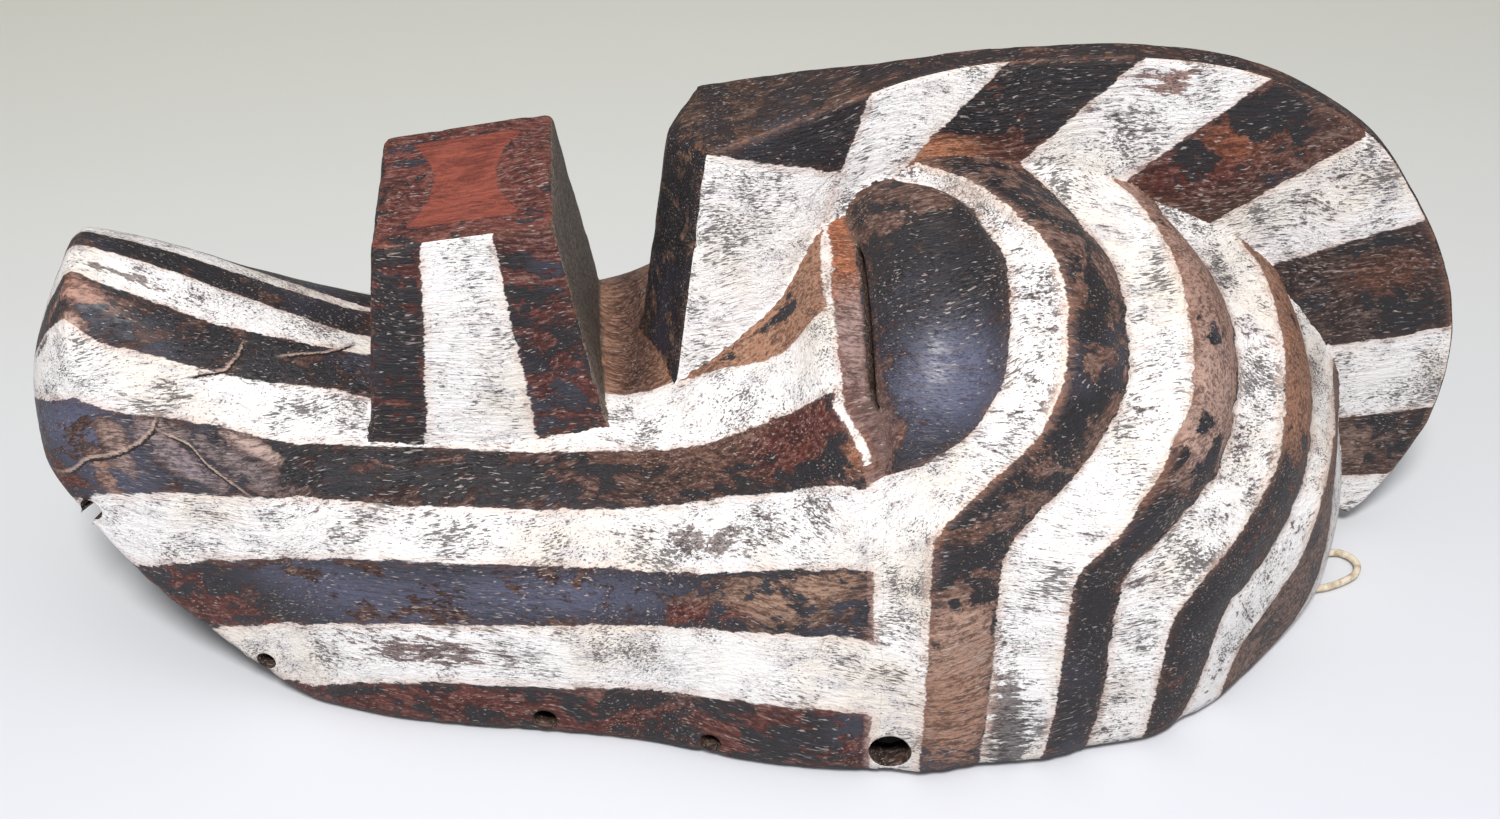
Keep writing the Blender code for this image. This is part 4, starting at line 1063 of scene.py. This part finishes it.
def applyBooleans(target, steps):
    for tool, operation in steps:
        modifier = target.modifiers.new(tool.name, 'BOOLEAN')
        modifier.operation = operation
        modifier.object = tool
        modifier.solver = 'MANIFOLD'
        modifier.material_mode = 'TRANSFER'
    bpy.context.view_layer.update()
    evaluated = target.evaluated_get(bpy.context.evaluated_depsgraph_get())
    mesh = bpy.data.meshes.new_from_object(evaluated)
    target.modifiers.clear()
    for tool, _ in steps:
        bpy.data.objects.remove(tool, do_unlink=True)
    return mesh


boredNames = ("tieHole", "chinHole", "stringHole", "boredWood")
wearForm = {
    "sharpAngle": 24.0,                 # degrees; edges sharper than this are worn round
    "passes": 4, "amount": 0.5,
    "waveHeight": 0.32, "waveLength": (52.0, 13.0),      # the knife's long shallow facets
    "grainHeight": 0.10, "grainLength": (16.0, 2.6),
    "nickDepth": 1.3, "nickLength": 7.5,
}


def wornMesh(mesh):
    # rounds the sharp edges, then lays on the knife's waves, the open grain and nicks along the edges
    triangulated = bmesh.new()
    triangulated.from_mesh(mesh)
    bmesh.ops.triangulate(triangulated, faces=triangulated.faces)
    bmesh.ops.remove_doubles(triangulated, verts=triangulated.verts, dist=0.02)
    triangulated.edges.ensure_lookup_table()
    limit = math.radians(wearForm["sharpAngle"])
    sharp = np.zeros(len(triangulated.verts), bool)
    for edge in triangulated.edges:
        if len(edge.link_faces) == 2 and edge.calc_face_angle(0) > limit:
            sharp[edge.verts[0].index] = sharp[edge.verts[1].index] = True
    boredSlots = {
        slot for slot, material in enumerate(mesh.materials)
        if material and material.name.startswith(boredNames)
    }
    bored = np.zeros(len(triangulated.verts), bool)
    for face in triangulated.faces:
        if face.material_index in boredSlots:
            bored[[vertex.index for vertex in face.verts]] = True
    triangulated.to_mesh(mesh)
    triangulated.free()
    count = len(mesh.vertices)
    points = np.empty(count * 3)
    mesh.vertices.foreach_get("co", points)
    points = points.reshape(-1, 3)
    ends = np.empty(len(mesh.edges) * 2, np.int64)
    mesh.edges.foreach_get("vertices", ends)
    a, b = ends.reshape(-1, 2).T
    degree = np.bincount(np.concatenate([a, b]), minlength=count)[:, None]

    def spread(values):
        total = np.zeros_like(values)
        np.add.at(total, a, values[b])
        np.add.at(total, b, values[a])
        return total / np.maximum(degree, 1)

    near = sharp[:, None].astype(float)
    for _ in range(2):
        near = np.maximum(near, spread(near) * 0.9)
    near[bored] = 0
    original = points.copy()
    for _ in range(wearForm["passes"]):
        points += (spread(points) - points) * near * wearForm["amount"]
    edgeNear = near[:, 0]
    mesh.vertices.foreach_set("co", points.reshape(-1))
    mesh.update()
    normals = np.empty(count * 3)
    mesh.vertices.foreach_get("normal", normals)
    normals = normals.reshape(-1, 3)

    def waves(lengths, seed):
        along, across = lengths
        return np.array([
            noise.noise((x / along + seed, y / across - seed, z / across + 2 * seed)) for x, y, z in points
        ])

    height = waves(wearForm["waveLength"], 3.1) * wearForm["waveHeight"]
    height += waves(wearForm["grainLength"], 9.7) * wearForm["grainHeight"]
    nicks = np.clip(waves((wearForm["nickLength"],) * 2, 5.3) - 0.12, 0, 1) * 2
    height -= nicks * wearForm["nickDepth"] * edgeNear
    height -= wearForm["waveHeight"]                       # nothing stands proud of the frame's form
    resting = points[:, 2] < 0.6
    height[resting] = 0
    points += normals * height[:, None]
    mesh.vertices.foreach_set("co", points.reshape(-1))
    mesh.update()
    return original, edgeNear


def paintMesh(mesh, original, edgeNear):
    # each face's corners take the paint of the patch that the face came from
    loopCount = len(mesh.loops)
    loopVertices = np.empty(loopCount, np.int64)
    mesh.loops.foreach_get("vertex_index", loopVertices)
    faceSlots = np.empty(len(mesh.polygons), np.int64)
    mesh.polygons.foreach_get("material_index", faceSlots)
    loopSlots = np.repeat(faceSlots, 3)
    fields = {key: np.zeros(loopCount) for key in paintFields}
    tones = np.tile(np.array(boreBrown), (loopCount, 1))
    fields["worn"][:] = 1.0
    fields["whiteDepth"][:] = noWhite
    for slot, material in enumerate(mesh.materials):
        name = material.name if material else ""
        corners = np.nonzero(loopSlots == slot)[0]
        if name not in patches or not len(corners):
            continue
        patch = patches[name]
        tree = kdtree.KDTree(len(patch["points"]))
        for number, point in enumerate(patch["points"]):
            tree.insert(point, number)
        tree.balance()
        used, back = np.unique(loopVertices[corners], return_inverse=True)
        found, weights = np.zeros((len(used), 4), np.int64), np.zeros((len(used), 4))
        for row, vertex in enumerate(used):
            for column, (_, number, distance) in enumerate(tree.find_n(original[vertex], 4)):
                found[row, column] = number
                weights[row, column] = 1 / (distance + 1e-3) ** 3
        weights /= weights.sum(1, keepdims=True)
        for key in paintFields:
            fields[key][corners] = (patch["paint"][key][found] * weights).sum(1)[back]
        tones[corners] = (patch["tone"][found] * weights[..., None]).sum(1)[back]
    for key in paintFields:
        layer = mesh.attributes.new(key, 'FLOAT', 'CORNER')
        layer.data.foreach_set("value", fields[key].astype(np.float32))
    layer = mesh.attributes.new("wornTone", 'FLOAT_COLOR', 'CORNER')
    colours = np.hstack([tones, np.ones((loopCount, 1))]).astype(np.float32)
    layer.data.foreach_set("color", colours.reshape(-1))
    layer = mesh.attributes.new("edgeNear", 'FLOAT', 'POINT')
    layer.data.foreach_set("value", edgeNear.astype(np.float32))
    mesh.materials.clear()
    mesh.polygons.foreach_set("material_index", np.zeros(len(mesh.polygons), np.int32))


def buildMask():
    body = bodyPatch()
    tools = [(crestPatch(), 'UNION'), (mouthPatch(), 'UNION'), (hollowPatch(), 'DIFFERENCE')]
    tools.append((boredObject("tieHole", holeBars()), 'DIFFERENCE'))
    tools.append((boredObject("chinHole", chinBars()), 'DIFFERENCE'))
    tools.append((gapObject(), 'DIFFERENCE'))
    tools.append((boredObject("stringHole", stringBars()), 'DIFFERENCE'))
    tools += [(slit, 'DIFFERENCE') for slit in slitObjects()]
    mesh = applyBooleans(body, tools)
    print("mask joined:", len(mesh.polygons), "faces")
    original, edgeNear = wornMesh(mesh)
    paintMesh(mesh, original, edgeNear)
    points = np.empty(len(mesh.vertices) * 3)
    mesh.vertices.foreach_get("co", points)
    points = (points.reshape(-1, 3) - (middleX, 0, 0)) * drawnUnit
    mesh.vertices.foreach_set("co", points.reshape(-1))
    mesh.shade_smooth()
    mesh.update()
    body.data = mesh
    body.name = "carvedMask"
    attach(body, "root")
    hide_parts("mask")
    print("mask painted:", len(mesh.polygons), "triangles")
    return body


# Finish of the painted wood

paintLook = {
    "white": rgb(238, 235, 234), "cream": rgb(230, 222, 212), "whiteGrey": rgb(200, 196, 200),
    "dash": rgb(58, 48, 48), "dashGrey": rgb(126, 116, 116), "fringe": rgb(214, 184, 168),
    "stain": rgb(208, 192, 184),
    "black": rgb(29, 27, 31), "blueCastAndSheen": rgb(86, 88, 110), "blackBrown": rgb(52, 33, 31),
    "paleDashAndGlint": rgb(178, 164, 158), "darkEdge": rgb(104, 68, 58), "rubbed": rgb(150, 104, 78),
    "brick": rgb(146, 74, 58), "brickDark": rgb(112, 52, 42), "filler": rgb(186, 160, 146),
    "crack": rgb(26, 20, 20),
    "wander": 2.2, "streakWander": 2.6, "fineWander": 1.4,      # mm that the stripes' edges stray
}


def paintedWood():
    material, tree, shader = startMaterial("paintedWood")
    look = paintLook
    place = millimetrePlace(tree)
    sway = (mottle(tree, place, 0.018, detail=1) - 0.5) * 26.0
    swayed = node(tree, 'ShaderNodeCombineXYZ', {}, {"Y": sway, "Z": sway * 0.7})
    grainPlace = node(tree, 'ShaderNodeVectorMath', {"operation": 'ADD'}, {0: place, 1: swayed})
    longGrain = stretched(tree, grainPlace, 0.07)
    dashGrain = stretched(tree, grainPlace, 0.17)
    shortGrain = stretched(tree, grainPlace, 0.42)
    whiteDepth, worn, whiteWorn = field(tree, "whiteDepth"), field(tree, "worn"), field(tree, "whiteWorn")
    gloss, blue, redness = field(tree, "gloss"), field(tree, "blue"), field(tree, "redness")
    arris, hollow, edgeNear = field(tree, "arris"), field(tree, "hollow"), field(tree, "edgeNear")
    crackSide, crackNear = field(tree, "crack"), field(tree, "crackNear")
    wornTone = field(tree, "wornTone", output="Color")

    fine = mottle(tree, shortGrain, 1.0, detail=4, roughness=0.7)
    streak = mottle(tree, longGrain, 0.75, detail=3, roughness=0.6)
    cluster = mottle(tree, place, 0.06, detail=3, roughness=0.6)
    bloom = mottle(tree, place, 0.024, detail=2)
    thin = mottle(tree, stretched(tree, grainPlace, 0.5), 0.16, detail=6, roughness=0.66)
    wander = (mottle(tree, place, 0.13, detail=2) - 0.5) * look["wander"]
    wander = wander + (streak - 0.5) * look["streakWander"] + (fine - 0.5) * look["fineWander"]
    depth = whiteDepth + wander
    isWhite = depth.rise(-0.28, 0.28)

    # white earth paint: open grain shows as dark dashes, thin places go grey, worn ones to the wood
    dashField = mottle(tree, dashGrain, 1.9, detail=3, roughness=0.6)
    dashField = dashField + (cluster - 0.5) * 0.85 + whiteWorn * 0.14
    dashes = dashField.rise(0.62, 0.69)
    speckField = mottle(tree, shortGrain, 2.3, detail=1) + (thin - 0.5) * 0.6 + whiteWorn * 0.12
    specks = speckField.rise(0.685, 0.74)
    scratchField = mottle(tree, longGrain, 1.9, detail=2) + (cluster - 0.5) * 0.5
    scratches = scratchField.rise(0.6, 0.72)
    white = mixColour(tree, bloom.rise(0.45, 0.68), look["white"], look["cream"])
    white = mixColour(tree, (thin + (bloom - 0.5) * 0.3).rise(0.5, 0.7) * 0.7, white, look["whiteGrey"])
    white = mixColour(tree, streak.rise(0.5, 0.72) * 0.4, white, look["stain"])
    rubbed = (thin * 0.36 + streak * 0.44 + fine * 0.2 + whiteWorn * 0.34).rise(0.61, 0.66)
    bareInWhite = mixColour(tree, fine.rise(0.4, 0.62) * 0.6, wornTone, look["dash"])
    white = mixColour(tree, scratches * 0.5, white, look["dashGrey"])
    white = mixColour(tree, rubbed * 0.84, white, bareInWhite)
    dashTone = mixColour(tree, (cluster + whiteWorn * 0.4).rise(0.42, 0.6), look["dashGrey"], look["dash"])
    white = mixColour(tree, dashes.most(specks) * 0.8, white, dashTone)

    # dark paint: black with a blue cast and a painted blue-grey sheen, flaked and rubbed through to brown
    # wood, pale dashes along the grain that are partly kaolin left in it and partly painted glints
    flake = mottle(tree, stretched(tree, grainPlace, 0.6), 0.12, detail=6, roughness=0.64, distortion=0.3)
    bare = (flake + (worn - 0.5) * 0.44 + (fine - 0.5) * 0.2).rise(0.485, 0.535)
    black = mixColour(tree, blue.most((bloom - 0.54) * 1.8).most(0.0), look["black"], look["blueCastAndSheen"])
    black = mixColour(tree, streak.rise(0.5, 0.68) * 0.55, black, look["blackBrown"])
    black = mixColour(tree, scratches * 0.3, black, look["dashGrey"])
    shade = mixColour(tree, 0.9, wornTone, (0.32, 0.29, 0.3), 'MULTIPLY')
    tint = mixColour(tree, 0.2, wornTone, rgb(206, 178, 164))
    wood = mixColour(tree, (fine * 0.55 + streak * 0.45).rise(0.38, 0.5), tint, wornTone)
    wood = mixColour(tree, (fine * 0.45 + streak * 0.3 + thin * 0.25).rise(0.47, 0.56), wood, shade)
    dark = mixColour(tree, bare, black, wood)
    # pale dashes in the dark paint: partly kaolin in the open grain, partly painted glints of light
    paleDashAndGlintField = mottle(tree, dashGrain, 1.6, detail=1) + (cluster - 0.5) * 0.3 - gloss * 0.02
    paleDashesAndGlints = paleDashAndGlintField.rise(0.655, 0.70) * (1.0 - redness)
    dark = mixColour(tree, paleDashesAndGlints * 0.7, dark, look["paleDashAndGlint"])
    brick = mixColour(tree, (streak * 0.5 + thin * 0.5).rise(0.42, 0.6), look["brick"], look["brickDark"])
    isRed = (redness + (thin - 0.5) * 1.2 + (fine - 0.5) * 0.3).rise(0.44, 0.54)
    dark = mixColour(tree, isRed, dark, brick)

    # along the stripes' edges, on the ridges (wear with a painted highlight), in the hollows (dirt with
    # painted shade) and on the worn corners
    colour = mixColour(tree, isWhite, dark, white)
    fringe = depth.rise(-0.1, 0.4) * (1.0 - depth.rise(0.6, 3.2)) * (thin + 0.1).rise(0.44, 0.66)
    colour = mixColour(tree, fringe * 0.45, colour, look["fringe"])
    darkEdge = (1.0 - depth.rise(-0.3, 0.1)) * depth.rise(-2.2, -0.5) * fine.rise(0.38, 0.6)
    colour = mixColour(tree, darkEdge * thin.rise(0.4, 0.62) * 0.6, colour, look["darkEdge"])
    # ridges: rubbed brown on the dark paint, a painted highlight of pale cream on the white
    ridge = arris * (fine * 0.6 + thin * 0.4).rise(0.36, 0.56)
    ridgeWearAndHighlightTone = mixColour(tree, isWhite, rgb(138, 100, 84), rgb(232, 208, 190))
    colour = mixColour(tree, ridge * 0.7, colour, ridgeWearAndHighlightTone)
    corner = edgeNear * (fine * 0.5 + thin * 0.5).rise(0.5, 0.62) * (1.0 - isWhite)
    colour = mixColour(tree, corner * 0.7, colour, look["rubbed"])
    # grooves: dirt with painted shade, a greyish brown laid over the colour
    dirtAndShade = hollow * (streak * 0.6 + fine * 0.4).rise(0.44, 0.62)
    colour = mixColour(tree, dirtAndShade * 0.42, colour, rgb(134, 106, 94))

    # cracks with their pale filler
    side = abs(crackSide + (fine - 0.5) * 1.4)
    holds = (thin * 0.5 + fine * 0.5 + (1.0 - isWhite) * 0.06).rise(0.44, 0.56)
    filler = crackNear * (1.0 - side.rise(0.3, 1.0)) * holds
    colour = mixColour(tree, filler * 0.85, colour, look["filler"])
    split = crackNear * (1.0 - abs(crackSide + (fine - 0.5) * 1.8 + 0.5).rise(0.15, 0.45))
    colour = mixColour(tree, split, colour, look["crack"])

    feed(tree, shader, "Base Color", colour)
    darkRoughness = 0.56 - gloss * 0.12 + bare * 0.12 + (fine - 0.5) * 0.6
    feed(tree, shader, "Roughness", isWhite * 0.84 + (1.0 - isWhite) * darkRoughness)
    handled = (fine * 0.6 + streak * 0.4).rise(0.42, 0.6)
    feed(tree, shader, "Coat Weight", gloss * (1.0 - isWhite) * handled * 0.4)
    shader.inputs["Coat Roughness"].default_value = 0.3
    shader.inputs["Specular IOR Level"].default_value = 0.42
    height = isWhite * 0.2 + streak * 0.8 + fine * 0.6 - dashes.most(specks) * 0.3 - bare * 0.24
    height = height - rubbed * isWhite * 0.2 - split * 0.6 + filler * 0.12 - paleDashesAndGlints * 0.12
    bumped = node(tree, 'ShaderNodeBump', {}, {"Height": height, "Strength": 1.0, "Distance": 0.001})
    feed(tree, shader, "Normal", bumped)
    return material


mask = buildMask()
mask.data.materials.append(paintedWood())
print("paint on the mask")


# String with its stopper knots

def smoothRoute(points, stretch):
    # evenly spaced points on a smooth curve through the route
    route = [Vector(p) for p in points]
    route = [route[0] * 2 - route[1]] + route + [route[-1] * 2 - route[-2]]
    fine = []
    for a, b, c, d in zip(route, route[1:], route[2:], route[3:]):
        for k in range(12):
            t = k / 12
            fine.append(0.5 * (2 * b + (c - a) * t + (2 * a - 5 * b + 4 * c - d) * t * t
                               + (3 * b - a - 3 * c + d) * t ** 3))
    fine.append(route[-2])
    fine = np.array([tuple(p) for p in fine])
    lengths = np.concatenate([[0], np.cumsum(np.linalg.norm(np.diff(fine, axis=0), axis=1))])
    wanted = np.linspace(0, lengths[-1], int(lengths[-1] / stretch))
    return np.stack([np.interp(wanted, lengths, fine[:, k]) for k in range(3)], 1), lengths[-1]


def laidTube(name, centres, diameter, strands=3, pitch=0.0052, sides=24):
    # a tube whose section is three laid strands, turning along its length
    ahead = np.gradient(centres, axis=0)
    ahead /= np.linalg.norm(ahead, axis=1, keepdims=True)
    side = np.cross(ahead[0], (0, 0, 1))
    side /= np.linalg.norm(side)
    travelled = np.concatenate([[0], np.cumsum(np.linalg.norm(np.diff(centres, axis=0), axis=1))])
    rings = []
    for centre, direction, distance in zip(centres, ahead, travelled):
        side = side - direction * (side @ direction)
        side /= np.linalg.norm(side)
        up = np.cross(direction, side)
        angle = np.linspace(0, 2 * math.pi, sides, endpoint=False)
        lobes = abs(np.cos((angle - distance / pitch * 2 * math.pi) * strands / 2))
        radius = diameter / 2 * (0.80 + 0.20 * lobes)
        rings.append(centre + np.outer(np.cos(angle) * radius, side) + np.outer(np.sin(angle) * radius, up))
    points = np.concatenate(rings)
    faces = []
    for i in range(len(centres) - 1):
        for k in range(sides):
            after = (k + 1) % sides
            faces.append((i * sides + k, i * sides + after, (i + 1) * sides + after, (i + 1) * sides + k))
    faces += [tuple(range(sides))[::-1], tuple(range(len(points) - sides, len(points)))]
    mesh = bpy.data.meshes.new(name)
    mesh.from_pydata(points.tolist(), [], faces)
    mesh.shade_smooth()
    made = bpy.data.objects.new(name, mesh)
    bpy.context.scene.collection.objects.link(made)
    return made


def knotPath(low, high, end, before, turns=160):
    # an overhand knot drawn up inside the frame's knot
    centre = (np.array(low) + np.array(high)) / 2
    size = float(min(np.array(high) - np.array(low)))
    out = np.array(end, float) - np.array(before, float)
    out /= np.linalg.norm(out)
    side = np.cross(out, (0, 0, 1))
    side /= np.linalg.norm(side)
    up = np.cross(side, out)
    t = np.linspace(0, 2 * math.pi, turns, endpoint=True)
    reach = size / 2 - stringForm["diameter"] * 0.36
    radius = (2 + np.cos(3 * t)) / 3 * reach
    a, b, c = radius * np.cos(2 * t), radius * np.sin(2 * t), np.sin(3 * t) * reach * 0.52
    return centre + np.outer(c, out) + np.outer(a, side) + np.outer(b, up)


def cottonString():
    material, tree, shader = startMaterial("cottonString")
    place = millimetrePlace(tree)
    soil = mottle(tree, place, 0.35, detail=4)
    fibre = mottle(tree, place, 6.0, detail=3)
    colour = mixColour(tree, soil.rise(0.4, 0.7), rgb(226, 214, 192), rgb(178, 158, 130))
    colour = mixColour(tree, fibre.rise(0.45, 0.7) * 0.35, colour, rgb(150, 130, 106))
    feed(tree, shader, "Base Color", colour)
    feed(tree, shader, "Roughness", 0.9 - fibre * 0.1)
    bumped = node(tree, 'ShaderNodeBump', {}, {"Height": fibre, "Strength": 0.5, "Distance": 0.0003})
    feed(tree, shader, "Normal", bumped)
    return material


def buildString():
    cotton = cottonString()
    centres, length = smoothRoute(stringForm["route"], 0.0007)
    string = laidTube("stringLoop", centres, stringForm["diameter"])
    string.data.materials.append(cotton)
    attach(string, "root")
    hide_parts("hanging_string")
    route = stringForm["route"]
    ends = {"string_knot_1": (route[0], route[1]), "string_knot_2": (route[-1], route[-2])}
    for nodeName, (end, before) in ends.items():
        low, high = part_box(nodeName)
        path = knotPath(low, high, end, before)
        knot = laidTube(nodeName.replace("string_", "drawn_"), path, stringForm["diameter"] * 0.72)
        knot.data.materials.append(cotton)
        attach(knot, "root")
        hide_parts(nodeName)
    print("string laid,", round(length * 1000), "mm")


buildString()


# Floor and light

def makeFloor():
    material, tree, shader = startMaterial("paleFloor")
    place = node(tree, 'ShaderNodeTexCoord', output="Object")
    split = node(tree, 'ShaderNodeSeparateXYZ', {}, {0: place}, output="Y")
    colour = mixColour(tree, split.rise(-0.35, 0.75), rgb(212, 214, 222), rgb(213, 212, 199))
    feed(tree, shader, "Base Color", colour)
    shader.inputs["Roughness"].default_value = 0.7
    shader.inputs["Specular IOR Level"].default_value = 0.2
    mesh = bpy.data.meshes.new("paleFloor")
    reach = 8.0
    corners = [(-reach, -reach, 0), (reach, -reach, 0), (reach, reach, 0), (-reach, reach, 0)]
    mesh.from_pydata(corners, [], [(0, 1, 2, 3)])
    mesh.materials.append(material)
    floor = bpy.data.objects.new("paleFloor", mesh)
    floor.location.z = -0.0002
    bpy.context.scene.collection.objects.link(floor)


lightSettings = [
    # name, azimuth and elevation it shines from, distance, size, watts, colour
    ("flashAboveLens", -8, 56, 1.5, 0.3, 23, (1.0, 0.99, 0.98)),
    ("softOverhead", 20, 80, 1.7, 1.6, 6, (0.97, 0.98, 1.0)),
    ("fillLeft", -70, 30, 2.0, 1.4, 2, (0.98, 0.99, 1.0)),
    ("fillRight", 75, 35, 2.0, 1.4, 1.5, (1.0, 0.99, 0.98)),
]


def makeLights():
    for name, azimuth, elevation, distance, size, power, colour in lightSettings:
        lamp = bpy.data.lights.new(name, 'AREA')
        lamp.shape = 'DISK'
        lamp.size = size
        lamp.energy = power
        lamp.color = colour
        made = bpy.data.objects.new(name, lamp)
        a, e = math.radians(azimuth), math.radians(elevation)
        back = Vector((math.sin(a) * math.cos(e), -math.cos(a) * math.cos(e), math.sin(e)))
        made.location = Vector((0, 0, 0.07)) + back * distance
        made.rotation_mode = 'QUATERNION'
        made.rotation_quaternion = (-back).to_track_quat('-Z', 'Y')
        bpy.context.scene.collection.objects.link(made)
    world = bpy.data.worlds.new("paleRoom")
    world.use_nodes = True
    world.node_tree.nodes["Background"].inputs["Color"].default_value = (0.92, 0.93, 0.95, 1)
    world.node_tree.nodes["Background"].inputs["Strength"].default_value = 0.3
    bpy.context.scene.world = world
    bpy.context.scene.view_settings.view_transform = 'Standard'


makeFloor()
makeLights()
print("floor and light set")
